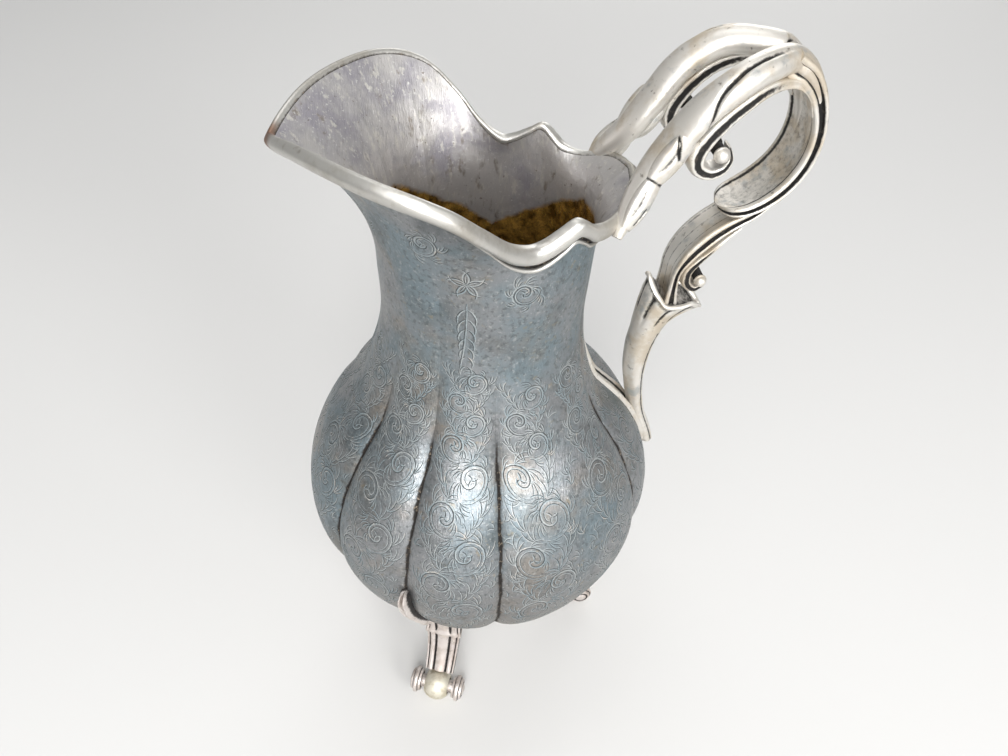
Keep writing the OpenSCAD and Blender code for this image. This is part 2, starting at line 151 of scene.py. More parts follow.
@dataclass
class Skin:
    """Rings of points that are joined into one closed surface."""

    rings: np.ndarray
    recess: np.ndarray
    ends: Ends = Ends.CAPPED

    def mirrored(self, side: Side) -> "Skin":
        """Gives the skin for a side of the jug: the left is the mirror image of the right."""
        if side is Side.RIGHT:
            return self
        rings = self.rings[:, ::-1] * np.array([1.0, -1.0, 1.0])
        return Skin(rings, self.recess[:, ::-1], self.ends)

    def turned(self, matrix: Matrix) -> "Skin":
        """Moves the skin by a matrix given in millimetres."""
        m = np.array(matrix)
        return Skin(self.rings @ m[:3, :3].T + m[:3, 3], self.recess, self.ends)

    def faces(self, first: int = 0) -> list[tuple[int, ...]]:
        """Lists the faces.

        Args:
            first: number of the skin's first point.

        Returns:
            Rows of point numbers, ring by ring and then the caps.
        """
        count, n = self.rings.shape[:2]
        rows = range(count if self.ends is Ends.JOINED else count - 1)
        quads = [
            (first + i * n + j, first + i * n + (j + 1) % n,
             first + (i + 1) % count * n + (j + 1) % n, first + (i + 1) % count * n + j)
            for i in rows for j in range(n)
        ]
        if self.ends is Ends.CAPPED:
            last = first + (count - 1) * n
            for j in range(n // 2 - 1):
                quads.append((first + j, first + n - 1 - j, first + n - 2 - j, first + j + 1))
                quads.append((last + j, last + j + 1, last + n - 2 - j, last + n - 1 - j))
        return quads


def sweep(path: np.ndarray, section: Callable[[int, float], np.ndarray]) -> Skin:
    """Draws a cross section along a path.

    Args:
        path: rows that start with x, y, z.
        section: gives rows of sideways, outward and recess for a point number and its share of the way.

    Returns:
        The skin of the swept form.
    """
    place, side, out = frames(path)
    rows = [section(i, i / (len(path) - 1)) for i in range(len(path))]
    table = np.array(rows)
    rings = place[:, None] + side[:, None] * table[..., :1] + out[:, None] * table[..., 1:2]
    return Skin(rings, table[..., 2])


def lathe(outline: Sequence[Sequence[float]], sides: int = 48) -> Skin:
    """Turns an outline round the Y axis.

    Args:
        outline: rows of distance along Y, radius and recess.
        sides: points in each ring.

    Returns:
        The skin of the turned form.
    """
    o = np.asarray(outline, float)
    a = np.arange(sides) / sides * 2 * np.pi
    ring = np.stack([np.sin(a), np.zeros(sides), np.cos(a)], -1)
    rings = o[:, None, 1:2] * ring + o[:, None, :1] * np.array([0.0, 1.0, 0.0])
    return Skin(rings, np.repeat(o[:, 2:3], sides, 1))


def dress(obj: bpy.types.Object, slot: Slot, nodes: Sequence[str] = ()) -> bpy.types.Object:
    """Fixes a piece to the jug and hides the solids that it replaces.

    Args:
        obj: finished piece.
        slot: not used.
        nodes: names of the solids that the piece replaces.

    Returns:
        The same piece.
    """
    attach(obj, "root")
    for node in nodes:
        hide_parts(node)
    LOG.info("%s: %d faces", obj.name, len(obj.data.polygons))
    return obj


def piece(name: str, skins: Sequence[Skin], materials: Sequence[bpy.types.Material], crease: float = 40.0,
          second_from: int | None = None) -> bpy.types.Object:
    """Makes one mesh object from skins.

    Args:
        name: name of the object.
        skins: closed skins, joined in one mesh.
        materials: materials in slot order.
        crease: angle in degrees past which an edge is drawn sharp.
        second_from: ring of the first skin from which the second material is used.

    Returns:
        The new object, at the origin.
    """
    points, faces, recess = [], [], []
    for skin in skins:
        faces += skin.faces(sum(len(p) for p in points))
        points.append(skin.rings.reshape(-1, 3))
        recess.append(skin.recess.ravel())
    mesh = bpy.data.meshes.new(name)
    mesh.from_pydata((np.vstack(points) * MM).tolist(), [], faces)
    mesh.attributes.new("recess", "FLOAT", "POINT").data.foreach_set("value", np.concatenate(recess))
    for material in materials:
        mesh.materials.append(material)
    mesh.polygons.foreach_set("use_smooth", [True] * len(mesh.polygons))
    if second_from is not None:
        n = skins[0].rings.shape[1]
        order = np.arange(len(mesh.polygons))
        walls = (len(skins[0].rings) - 1) * n
        inside = (order >= second_from * n) & (order < walls)
        last_cap = (order >= walls) & ((order - walls) % 2 == 1)
        mesh.polygons.foreach_set("material_index", (inside | last_cap).astype(np.int32))
    mesh.update()
    mesh.set_sharp_from_angle(angle=math.radians(crease))
    obj = bpy.data.objects.new(name, mesh)
    bpy.context.scene.collection.objects.link(obj)
    return obj


def add(tree: bpy.types.NodeTree, kind: str, links: dict | None = None,
        **settings: object) -> bpy.types.Node:
    """Adds a node with its settings and links.

    Args:
        tree: tree that takes the node.
        kind: type name of the node.
        links: socket name or number to a value or to another node's output.
        **settings: properties of the node.

    Returns:
        The new node.
    """
    node = tree.nodes.new(kind)
    for key, value in settings.items():
        setattr(node, key, value)
    for socket, source in (links or {}).items():
        if isinstance(source, bpy.types.NodeSocket):
            tree.links.new(source, node.inputs[socket])
        else:
            node.inputs[socket].default_value = source
    return node


def per_metre(size_mm: float) -> float:
    """Texture scale for a feature of a size in millimetres."""
    return 1 / (size_mm * MM)


@dataclass(frozen=True)
class Layer:
    """A tint that lies over a finish in cloudy patches."""

    colour: str
    size_mm: float
    low: float
    high: float
    share: float = 1.0
    stretch: tuple[float, float, float] = (1.0, 1.0, 1.0)


@dataclass(frozen=True)
class SilverFinish:
    """Sterling silver: a bright grey metal, dulled by tarnish in clouds, and darkened in its recesses by
    dirt and by painted shade.
    """

    name: str
    base: str
    layers: tuple[Layer, ...]
    dirt: str
    polish: float
    dullness: float
    scratch_mm: float = 0.5
    scratch_turn: tuple[float, float, float] = (0.5, 0.3, 0.9)
    scratch_stretch: tuple[float, float, float] = (1.0, 0.06, 0.3)
    dent_mm: float = 7.0
    dent: float = 0.1
    fleck: str = "#8c8070"
    grit_mm: float = 1.1
    grain: float = 0.12
    film: float = 0.0
    low_tint: str | None = None
    low_from_mm: float = 78.0
    low_full_mm: float = 44.0
    low_share: float = 0.85
    gilt: "GiltLine | None" = None
    spot: "WornSpot | None" = None

    def clouds(self, tree: bpy.types.NodeTree,
               where: bpy.types.NodeSocket) -> tuple[bpy.types.NodeSocket, bpy.types.NodeSocket]:
        """Lays the cloudy tints over the base colour.

        Args:
            tree: tree of the material.
            where: Object coordinates.

        Returns:
            The tinted colour, and the mask of the first tint.
        """
        colour, first = linear(self.base), None
        for index, layer in enumerate(self.layers):
            moved = (0.13 * index, 0.07 * index, 0.0)
            spot = add(tree, "ShaderNodeMapping", {"Vector": where, "Scale": layer.stretch,
                                                   "Location": moved}).outputs[0]
            cloud = add(tree, "ShaderNodeTexNoise", {"Vector": spot, "Scale": per_metre(layer.size_mm),
                                                     "Detail": 5.0, "Roughness": 0.6}).outputs["Fac"]
            limits = {0: cloud, 1: layer.low, 2: layer.high, 3: 0.0, 4: layer.share}
            mask = add(tree, "ShaderNodeMapRange", limits, interpolation_type="SMOOTHSTEP").outputs[0]
            colour = add(tree, "ShaderNodeMix", {0: mask, 6: colour, 7: linear(layer.colour)},
                         data_type="RGBA").outputs[2]
            first = first or mask
        return colour, first

    def lay_grime_and_shade(self, tree: bpy.types.NodeTree, where: bpy.types.NodeSocket,
               colour: bpy.types.NodeSocket) -> tuple[bpy.types.NodeSocket, bpy.types.NodeSocket]:
        """Lays dirt and painted shade, with paler flecks, in the recesses, with a ragged edge.

        Args:
            tree: tree of the material.
            where: Object coordinates.
            colour: colour of the silver.

        Returns:
            The colour with the dirt and painted shade, and how much of both each place has.
        """
        # The recess attribute holds real dirt and patina and also painted shade; both take the dark tone
        # below
        recess = add(tree, "ShaderNodeAttribute", attribute_name="recess").outputs["Fac"]
        grit = add(tree, "ShaderNodeTexNoise", {"Vector": where, "Scale": per_metre(self.grit_mm),
                                                "Detail": 4.0, "Roughness": 0.7}).outputs["Fac"]
        edge = add(tree, "ShaderNodeMath", {0: grit, 1: 0.9, 2: -0.42}, operation="MULTIPLY_ADD").outputs[0]
        soft = add(tree, "ShaderNodeMath", {0: recess, 1: edge}, operation="ADD").outputs[0]
        grime_and_shade = add(tree, "ShaderNodeMapRange", {0: soft, 1: 0.3, 2: 0.8},
                    interpolation_type="SMOOTHSTEP").outputs[0]
        flecks = add(tree, "ShaderNodeMapRange", {0: grit, 1: 0.56, 2: 0.7}).outputs[0]
        darkening = add(tree, "ShaderNodeMix", {0: flecks, 6: linear(self.dirt), 7: linear(self.fleck)},
                   data_type="RGBA").outputs[2]
        mixed = add(tree, "ShaderNodeMix", {0: grime_and_shade, 6: colour, 7: darkening}, data_type="RGBA").outputs[2]
        return mixed, grime_and_shade

    def surface(self, tree: bpy.types.NodeTree, where: bpy.types.NodeSocket, clouded: bpy.types.NodeSocket,
                gilded: bpy.types.NodeSocket | None,
                grime_and_shade: bpy.types.NodeSocket) -> tuple[bpy.types.NodeSocket, bpy.types.NodeSocket]:
        """Works out the gloss, and the relief of hammer marks and scratches.

        Args:
            tree: tree of the material.
            where: Object coordinates.
            clouded: mask of the first tint.
            gilded: where the gold is, if there is any.
            grime_and_shade: how much dirt and painted shade each place has.

        Returns:
            The roughness and the normal.
        """
        fine = add(tree, "ShaderNodeMapping", {"Vector": where, "Rotation": self.scratch_turn,
                                               "Scale": self.scratch_stretch}).outputs[0]
        scratch = add(tree, "ShaderNodeTexNoise", {"Vector": fine, "Scale": per_metre(self.scratch_mm),
                                                   "Detail": 3.0, "Roughness": 0.75}).outputs["Fac"]
        shine = add(tree, "ShaderNodeMapRange", {0: clouded, 3: self.polish, 4: self.dullness}).outputs[0]
        if gilded:
            shine = add(tree, "ShaderNodeMath", {0: gilded, 1: -0.2, 2: shine},
                        operation="MULTIPLY_ADD").outputs[0]
        scuffed = add(tree, "ShaderNodeMath", {0: scratch, 1: 0.16, 2: shine},
                      operation="MULTIPLY_ADD").outputs[0]
        rough = add(tree, "ShaderNodeMath", {0: grime_and_shade, 1: 0.35, 2: scuffed},
                    operation="MULTIPLY_ADD").outputs[0]
        dents = add(tree, "ShaderNodeTexNoise", {"Vector": where, "Scale": per_metre(self.dent_mm),
                                                 "Detail": 2.0}).outputs["Fac"]
        hammered = add(tree, "ShaderNodeBump", {"Height": dents, "Strength": self.dent,
                                                "Distance": 0.001}).outputs[0]
        scored = add(tree, "ShaderNodeBump", {"Height": scratch, "Strength": self.grain, "Distance": 0.0001,
                                              "Normal": hammered}).outputs[0]
        return rough, scored

    def material(self) -> bpy.types.Material:
        """Builds the material.

        Returns:
            A node material that reads Object coordinates and the recess attribute.
        """
        made = bpy.data.materials.new(self.name)
        made.use_nodes = True
        tree = made.node_tree
        tree.nodes.clear()
        where = add(tree, "ShaderNodeTexCoord").outputs["Object"]
        colour, clouded = self.clouds(tree, where)
        place = add(tree, "ShaderNodeSeparateXYZ", {0: where})
        if self.low_tint:
            fade = {0: place.outputs["Z"], 1: self.low_from_mm * MM, 2: self.low_full_mm * MM,
                    3: 0.0, 4: self.low_share}
            low = add(tree, "ShaderNodeMapRange", fade, interpolation_type="SMOOTHSTEP").outputs[0]
            colour = add(tree, "ShaderNodeMix", {0: low, 6: colour, 7: linear(self.low_tint)},
                         data_type="RGBA").outputs[2]
        gilded = None
        if self.gilt:
            colour, gilded = self.gilt.over(tree, where, place, colour)
        if self.spot:
            colour = self.spot.over(tree, where, colour)
        colour, grime_and_shade = self.lay_grime_and_shade(tree, where, colour)
        metal = add(tree, "ShaderNodeMapRange", {0: grime_and_shade, 3: 1.0 - self.film, 4: 0.25}).outputs[0]
        rough, relief = self.surface(tree, where, clouded, gilded, grime_and_shade)
        shader = add(tree, "ShaderNodeBsdfPrincipled", {"Base Color": colour, "Metallic": metal,
                                                        "Roughness": rough, "Normal": relief})
        add(tree, "ShaderNodeOutputMaterial", {"Surface": shader.outputs[0]})
        return made


@dataclass(frozen=True)
class GiltLine:
    """Gold wash inside the jug, up to a line in the neck that climbs from its lowest place at each side."""

    low_mm: float = 131.5
    low_turn: float = 79.0
    climb_mm: float = 13.5
    high_mm: float = 147.0
    soft_mm: float = 0.6
    waver_mm: float = 3.0
    waver_size_mm: float = 4.0
    stain_mm: float = 2.6
    gold: str = "#dcae57"
    stain: str = "#66491d"

    def over(self, tree: bpy.types.NodeTree, where: bpy.types.NodeSocket, place: bpy.types.Node,
             colour: bpy.types.NodeSocket) -> tuple[bpy.types.NodeSocket, bpy.types.NodeSocket]:
        """Lays the gold over a colour.

        Args:
            tree: tree of the material.
            where: Object coordinates.
            place: node with the separate coordinates.
            colour: colour of the silver.

        Returns:
            The colour with the gold below the line, and where the gold is.
        """
        waver = add(tree, "ShaderNodeTexNoise", {"Vector": where, "Scale": per_metre(self.waver_size_mm),
                                                 "Detail": 4.0}).outputs["Fac"]
        level = add(tree, "ShaderNodeMath", {0: waver, 1: self.waver_mm * MM, 2: place.outputs["Z"]},
                    operation="MULTIPLY_ADD").outputs[0]
        aside = add(tree, "ShaderNodeMath", {0: place.outputs["Y"]}, operation="ABSOLUTE").outputs[0]
        flat = add(tree, "ShaderNodeCombineXYZ", {"X": place.outputs["X"], "Y": aside}).outputs[0]
        way = add(tree, "ShaderNodeVectorMath", {0: flat}, operation="NORMALIZE").outputs[0]
        a = math.radians(self.low_turn)
        near = add(tree, "ShaderNodeVectorMath", {0: way, 1: (math.cos(a), math.sin(a), 0.0)},
                   operation="DOT_PRODUCT").outputs["Value"]
        turn = add(tree, "ShaderNodeMath", {0: near}, operation="ARCCOSINE").outputs[0]
        climb = add(tree, "ShaderNodeMath", {0: turn, 1: self.climb_mm * MM, 2: self.low_mm * MM},
                    operation="MULTIPLY_ADD").outputs[0]
        line = add(tree, "ShaderNodeMath", {0: climb, 1: self.high_mm * MM}, operation="MINIMUM").outputs[0]
        above = add(tree, "ShaderNodeMath", {0: level, 1: line}, operation="SUBTRACT").outputs[0]
        below = add(tree, "ShaderNodeMapRange", {0: above, 1: (self.waver_mm / 2 + self.soft_mm) * MM,
                                                 2: (self.waver_mm / 2 - self.soft_mm) * MM}).outputs[0]
        spots = add(tree, "ShaderNodeTexNoise", {"Vector": where, "Scale": per_metre(self.stain_mm),
                                                 "Detail": 4.0, "Roughness": 0.65}).outputs["Fac"]
        stains = add(tree, "ShaderNodeMapRange", {0: spots, 1: 0.34, 2: 0.62}).outputs[0]
        gold = add(tree, "ShaderNodeMix", {0: stains, 6: linear(self.gold), 7: linear(self.stain)},
                   data_type="RGBA").outputs[2]
        mixed = add(tree, "ShaderNodeMix", {0: below, 6: colour, 7: gold}, data_type="RGBA").outputs[2]
        return mixed, below


@dataclass(frozen=True)
class WornSpot:
    """Copper-coloured wear round one place."""

    place: tuple[float, float, float]
    reach_mm: float
    colour: str
    core: float = 0.3
    share: float = 0.8

    def over(self, tree: bpy.types.NodeTree, where: bpy.types.NodeSocket,
             colour: bpy.types.NodeSocket) -> bpy.types.NodeSocket:
        """Lays the wear over a colour.

        Args:
            tree: tree of the material.
            where: Object coordinates.
            colour: colour of the silver.

        Returns:
            The colour with the wear.
        """
        away = add(tree, "ShaderNodeVectorMath", {0: where, 1: tuple(v * MM for v in self.place)},
                   operation="DISTANCE").outputs["Value"]
        fade = {0: away, 1: self.reach_mm * MM, 2: self.core * self.reach_mm * MM, 4: self.share}
        near = add(tree, "ShaderNodeMapRange", fade, interpolation_type="SMOOTHSTEP").outputs[0]
        return add(tree, "ShaderNodeMix", {0: near, 6: colour, 7: linear(self.colour)},
                   data_type="RGBA").outputs[2]


# Raised sheet silver, unpolished for years: grey with blue and warm clouds, brown near the base
RAISED_SILVER = SilverFinish(
    "Raised silver, tarnished", "#8a8c8e",
    (Layer("#75858c", 26.0, 0.44, 0.64, 0.8), Layer("#8a8177", 16.0, 0.5, 0.7, 0.65),
     Layer("#5b6061", 9.0, 0.48, 0.74, 0.6), Layer("#93866e", 2.0, 0.6, 0.72, 0.5),
     Layer("#4d5253", 1.0, 0.5, 0.66, 0.5), Layer("#b7b8b5", 0.8, 0.55, 0.68, 0.4)),
    dirt="#17120e", polish=0.3, dullness=0.43, scratch_mm=0.4, dent=0.22, grain=0.9, film=0.1,
    low_tint="#6b6051")
# Inside of the sheet: scratched silver with streaks and specks above, gold wash below
LINED_SILVER = SilverFinish(
    "Raised silver with a gold wash", "#bcb9b7",
    (Layer("#969399", 16.0, 0.45, 0.65), Layer("#cbc8c1", 1.3, 0.55, 0.66, 0.8, (1.0, 1.0, 0.3)),
     Layer("#7e7469", 2.2, 0.58, 0.72, 0.7, (1.0, 1.0, 0.4)), Layer("#d1d0cd", 0.6, 0.6, 0.68, 0.9),
     Layer("#6e645c", 0.8, 0.64, 0.72, 0.8)),
    dirt="#3a2f24", polish=0.34, dullness=0.46, dent_mm=5.0, dent=0.35, grain=1.0, film=0.25,
    gilt=GiltLine())
# Cast silver, polished by hands: pale and warm, black in the chased lines
CAST_SILVER = SilverFinish(
    "Cast silver, chased", "#d5d1ca",
    (Layer("#c0b5a4", 9.0, 0.45, 0.65), Layer("#a1a4a4", 5.0, 0.56, 0.72, 0.8),
     Layer("#70685d", 1.4, 0.62, 0.73, 0.8)),
    dirt="#141211", polish=0.33, dullness=0.46, scratch_mm=0.35, dent_mm=3.0, dent=0.12, grain=0.4,
    fleck="#443e37", film=0.3)
# Drawn wire of the rim: plain silver, rubbed by use, with copper showing at the tip of the spout
RIM_SILVER = SilverFinish(
    "Drawn silver wire", "#c2c0bb",
    (Layer("#ada9a1", 8.0, 0.45, 0.65), Layer("#968e85", 3.0, 0.6, 0.75, 0.7)),
    dirt="#26211d", polish=0.32, dullness=0.44, scratch_mm=0.35, dent_mm=4.0, dent=0.12, grain=0.35,
    film=0.1, spot=WornSpot((-39.6, 0.0, 164.6), 5.0, "#784f33"))
# Cast feet: rosy pale silver with black grooves
FOOT_SILVER = SilverFinish(
    "Cast silver feet", "#d4ccc7",
    (Layer("#bdb2aa", 6.0, 0.45, 0.65), Layer("#8d8680", 2.4, 0.6, 0.74, 0.8)),
    dirt="#191514", polish=0.28, dullness=0.42, scratch_mm=0.35, dent_mm=3.0, dent=0.12, grain=0.35,
    fleck="#48413b", film=0.3)
# Balls of the feet, worn yellowish
BALL_SILVER = SilverFinish(
    "Cast silver balls, worn", "#d4cfc0",
    (Layer("#bbb39f", 3.0, 0.45, 0.65), Layer("#89816f", 1.4, 0.66, 0.76, 0.7)),
    dirt="#2a241c", polish=0.46, dullness=0.58, scratch_mm=0.3, dent_mm=2.0, dent=0.12, grain=0.4, film=0.3)
# Cut of the graver: one wall of every narrow trough left bright, the other painted with shade in the dark
# tone
CUT_SILVER = SilverFinish(
    "Bright cut silver", "#a3a7a7",
    (Layer("#8c979b", 6.0, 0.4, 0.62), Layer("#b9b4ad", 3.0, 0.55, 0.7)),
    dirt="#34393b", polish=0.38, dullness=0.5, scratch_mm=0.3, dent=0.0, fleck="#4f4e49", film=0.3)


@dataclass
class Vessel:
    """Raised body of the jug: nine folds, a drawn-in neck and a wavy mouth."""

    belly_r: float = 43.72
    base_z: float = 29.0
    neck_z: float = 139.0
    wall: float = 0.9
    fold_depth: float = 2.1
    fold_spread: float = 4.5
    rear_tuck: float = 2.8
    rear_flare: float = 4.6
    front_flare: float = 2.4
    # The folds grow over this height above the base, and fade to a small rest between two heights
    fold_grow: float = 22.0
    fold_fade: tuple[float, float] = (96.0, 124.0)
    fold_loss: float = 0.86
    # The tuck under the handle: heights below the neck line, shares there and at the neck line, and the
    # turns between which it ends
    tuck_heights: tuple[float, ...] = (84.0, 92.0, 102.0, 112.0, 125.0)
    tuck_shares: tuple[float, ...] = (0.0, 0.3, 1.0, 0.6, 0.25, 0.2)
    tuck_turns: tuple[float, float] = (10.0, 34.0)
    # The flare of the mouth changes from its rear to its front form between these turns
    flare_turns: tuple[float, float] = (50.0, 110.0)
    # Columns are spaced within sectors of this turn, crowded at both ends
    sector: int = 30
    crowding: float = 0.75
    # The dark line of painted shade in the folds starts and ends between these heights
    line_low: tuple[float, float] = (36.0, 44.0)
    line_high: tuple[float, float] = (100.0, 118.0)
    line_mm: float = 0.5
    haze_mm: float = 1.5
    haze: float = 0.42
    # Middle and spread of the painted shade under the rim's wires, down from the mouth's edge
    wire_dirt: tuple[float, float] = (2.95, 0.5)
    outline: Rows = (
        (0.27, 0.006), (0.51, 0.06), (0.735, 0.126), (0.91, 0.224), (1.0, 0.345), (0.975, 0.465),
        (0.845, 0.585), (0.665, 0.686), (0.56, 0.785), (0.507, 0.885), (0.508, 1.0))
    edge_path: Rows = (
        (0, 28.0, 17.0), (15, 27.3, 15.8), (30, 25.0, 13.6), (40, 23.3, 14.0), (46, 22.7, 15.8),
        (53, 22.5, 17.4), (60, 21.6, 15.9), (68, 21.0, 14.3), (76, 20.9, 13.8), (88, 23.3, 16.4),
        (99, 27.2, 21.8), (110, 30.3, 26.8), (125, 32.0, 29.4), (145, 33.0, 29.8), (163, 35.2, 28.6),
        (180, 38.6, 25.4))
    folds: tuple[int, ...] = (0, 30, 90, 120, 150, 210, 240, 270, 330)
    columns: int = 30
    wall_steps: int = 9
    mouth_steps: int = 60
    profile: np.ndarray = field(init=False)
    edge: np.ndarray = field(init=False)

    def __post_init__(self) -> None:
        """Works out the fine outline and the fine edge of the mouth."""
        body_h = self.neck_z - self.base_z
        rows = [[r * self.belly_r, self.base_z + z * body_h] for r, z in self.outline]
        self.profile = spline(rows, self.wall_steps)
        self.edge = spline(self.edge_path, 12)

    def side_turn(self, turn: np.ndarray) -> np.ndarray:
        """Turn from the handle, the same on both sides."""
        return np.abs((np.asarray(turn, float) + 540) % 360 - 180)

    def near_fold(self, turn: np.ndarray) -> np.ndarray:
        """Degrees to the closest fold."""
        t = np.asarray(turn, float)
        return np.min([np.abs((t - f + 900) % 360 - 180) for f in self.folds], axis=0)

    def fold_share(self, z: np.ndarray) -> np.ndarray:
        """How deep the folds are at a height: none at the base, full at the belly, little at the neck."""
        return smooth(self.base_z, self.base_z + self.fold_grow, z) * (
            1 - self.fold_loss * smooth(*self.fold_fade, z))

    def cut_in(self, turn: np.ndarray, z: np.ndarray) -> np.ndarray:
        """How far the sheet lies inside the round outline."""
        fold = self.fold_depth * self.fold_share(z) * np.exp(-self.near_fold(turn) / self.fold_spread)
        tuck = np.interp(z, (*self.tuck_heights, self.neck_z), self.tuck_shares)
        return fold + self.rear_tuck * tuck * (1 - smooth(*self.tuck_turns, self.side_turn(turn)))

    def reach(self, turn: np.ndarray, z: np.ndarray) -> np.ndarray:
        """Radius of the outside at a turn and a height, the mouth included."""
        turn, z = np.broadcast_arrays(np.asarray(turn, float), np.asarray(z, float))
        side = self.side_turn(turn)
        lip = np.interp(side, self.edge[:, 0], self.edge[:, 1])
        v = np.clip((z - self.neck_z) / self.rise(turn), 0, 1)
        late = self.rear_flare + (self.front_flare - self.rear_flare) * smooth(*self.flare_turns, side)
        plain = np.interp(z, self.profile[:, 1], self.profile[:, 0])
        flared = (lip - self.profile[-1, 0]) * v ** late
        return plain + flared - (1 - v) * self.cut_in(turn, np.minimum(z, self.neck_z))

    def rise(self, turn: np.ndarray) -> np.ndarray:
        """Height of the mouth's edge above the neck line."""
        return np.interp(self.side_turn(turn), self.edge[:, 0], self.edge[:, 2])

    def point(self, turn: np.ndarray, z: np.ndarray) -> np.ndarray:
        """Place on the outside."""
        a, r = np.radians(turn), self.reach(turn, z)
        return np.stack([r * np.cos(a), r * np.sin(a), np.broadcast_to(z, r.shape)], -1)

    def normal(self, turn: np.ndarray, z: np.ndarray) -> np.ndarray:
        """Outward direction on the outside."""
        around = self.point(turn + 0.2, z) - self.point(turn - 0.2, z)
        up = self.point(turn, z + 0.2) - self.point(turn, z - 0.2)
        return unit(np.cross(around, up))

    def turns(self) -> np.ndarray:
        """Turns of the columns, closer together at the folds."""
        t = np.arange(self.columns) / self.columns
        within = self.sector * (t - self.crowding * np.sin(2 * np.pi * t) / (2 * np.pi))
        return np.concatenate([self.sector * k + within for k in range(360 // self.sector)])

    def meridians(self, wall_steps: int, mouth_steps: int) -> tuple[np.ndarray, np.ndarray]:
        """Samples the outside on every column.

        Args:
            wall_steps: every how many points of the fine outline one is used.
            mouth_steps: samples above the neck line.

        Returns:
            Radii and heights, ring by ring from the base to the mouth.
        """
        turns = self.turns()
        low = self.profile[::wall_steps, 1][:, None] + 0 * turns
        v = (np.arange(1, mouth_steps + 1) / mouth_steps)[:, None]
        z = np.vstack([low, self.neck_z + v * self.rise(turns)])
        return self.reach(turns, z), z

    def build(self) -> bpy.types.Object:
        """Builds the vessel, outside and inside.

        Returns:
            The piece that stands for the body.
        """
        turns = self.turns()
        a = np.radians(turns)
        r, z = self.meridians(1, self.mouth_steps)
        ri, zi = self.meridians(2, self.mouth_steps // 2)
        dr, dz = np.gradient(ri, axis=0), np.gradient(zi, axis=0)
        size = np.hypot(dr, dz)
        ri, zi = ri - self.wall * dz / size, zi + self.wall * dr / size
        hub = np.array([0.5, 5.0, 9.0])[:, None]
        r_all = np.vstack([hub + 0 * a, r, ri[::-1], hub[::-1] * ri[:1] / r[:1]])
        z_all = np.vstack([z[:1] - 0.1 + 0 * hub, z, zi[::-1], zi[:1] + 0 * hub])
        rings = np.stack([r_all * np.cos(a), r_all * np.sin(a), z_all], -1)
        near = self.near_fold(turns)
        reach_mm = near * r_all / ARC
        # Painted shade: a ragged dark line down the crease of each fold
        sway = 0.2 * np.sin(z_all * 0.53 + 2 * np.floor(turns / self.sector))
        ragged = self.line_mm + sway + 0.12 * np.sin(z_all * 1.37)
        ends = (1 - smooth(*self.line_high, z_all)) * smooth(*self.line_low, z_all)
        line = np.exp(-(reach_mm / ragged) ** 2) * ends
        haze = self.haze * np.exp(-(reach_mm / self.haze_mm) ** 2) * self.fold_share(z_all)
        inner = np.arange(len(r_all))[:, None] >= len(hub) + len(r)
        # Painted shade: a dark band on the sheet under the rim's wires
        under_wire = bump(self.neck_z + self.rise(turns) - z_all, *self.wire_dirt)
        recess = np.where(inner, 0.0, np.maximum.reduce([line, haze, under_wire]))
        skin = Skin(rings, recess)
        obj = piece("Body", [skin], [RAISED_SILVER.material(), LINED_SILVER.material()],
                    second_from=len(hub) + len(r) - 1, crease=80)
        return dress(obj, Slot.BODY, ["body"])


@dataclass
class Rim:
    """Wire mouldings round the edge of the mouth."""

    vessel: Vessel
    height: float = 3.6
    stand: float = 1.7
    thread: float = 1.0
    hook: float = 0.9
    overlap: float = 0.3
    # Distance below the edge at which the slope of the sheet is read
    slope_mm: float = 3.0

    def along_edge(self, section: np.ndarray) -> Skin:
        """Sweeps a closed section round the mouth's edge.

        Args:
            section: rows of distance down from the edge, distance out from the sheet, and recess.

        Returns:
            The joined skin.
        """
        v, turns = self.vessel, self.vessel.turns()
        top = v.neck_z + v.rise(turns)
        r = np.stack([v.reach(turns, top - d) for d in (0.0, self.slope_mm)])
        up = unit(np.stack([r[0] - r[1], np.full(len(turns), self.slope_mm)], -1))
        down, out = section[:, 0], section[:, 1]
        rr = r[0][:, None] - down * up[:, :1] + out * up[:, 1:]
        zz = top[:, None] - down * up[:, 1:] - out * up[:, :1]
        a = np.radians(turns)[:, None]
        rings = np.stack([rr * np.cos(a), rr * np.sin(a), zz], -1)
        return Skin(rings, np.repeat(section[None, :, 2], len(turns), 0), Ends.JOINED)

    def build(self) -> list[bpy.types.Object]:
        """Builds the rounded moulding and the thin thread under it.

        Returns:
            The two pieces.
        """
        h, t, k, w = self.height, self.stand, self.hook, self.vessel.wall
        corners = [(h - k, 0.1, 1.0), (h - k * 1.05, t * 0.35, 0.9), (h * 0.6, t * 0.8, 0), (h * 0.3, t, 0),
                   (0, t * 0.9, 0), (-k * 0.75, t * 0.55, 0), (-k, 0, 0), (-k * 0.9, -w * 0.75, 0),
                   (-k * 0.3, -w * 1.15, 0.2), (0.5, -w * 1.05, 0.7), (0.6, -w * 0.4, 0.7), (0.5, 0.1, 0.7)]
        wire = spline(corners, 3)
        low = h - self.overlap
        cord = [(low + self.thread * (0.5 - 0.5 * math.cos(x)), 0.15 + 0.6 * self.thread * abs(math.sin(x)),
                 1.0 if i in (0, 8) else 0.0) for i, x in enumerate(np.linspace(0, math.pi, 9))]
        material = RIM_SILVER.material()
        moulding = piece("Rim_moulding", [self.along_edge(wire[::-1])], [material], 60)
        thread = piece("Rim_thread", [self.along_edge(np.array(cord))], [material], 60)
        return [dress(moulding, Slot.CAST, ["rim_moulding"]), dress(thread, Slot.CAST, ["rim_thread"])]


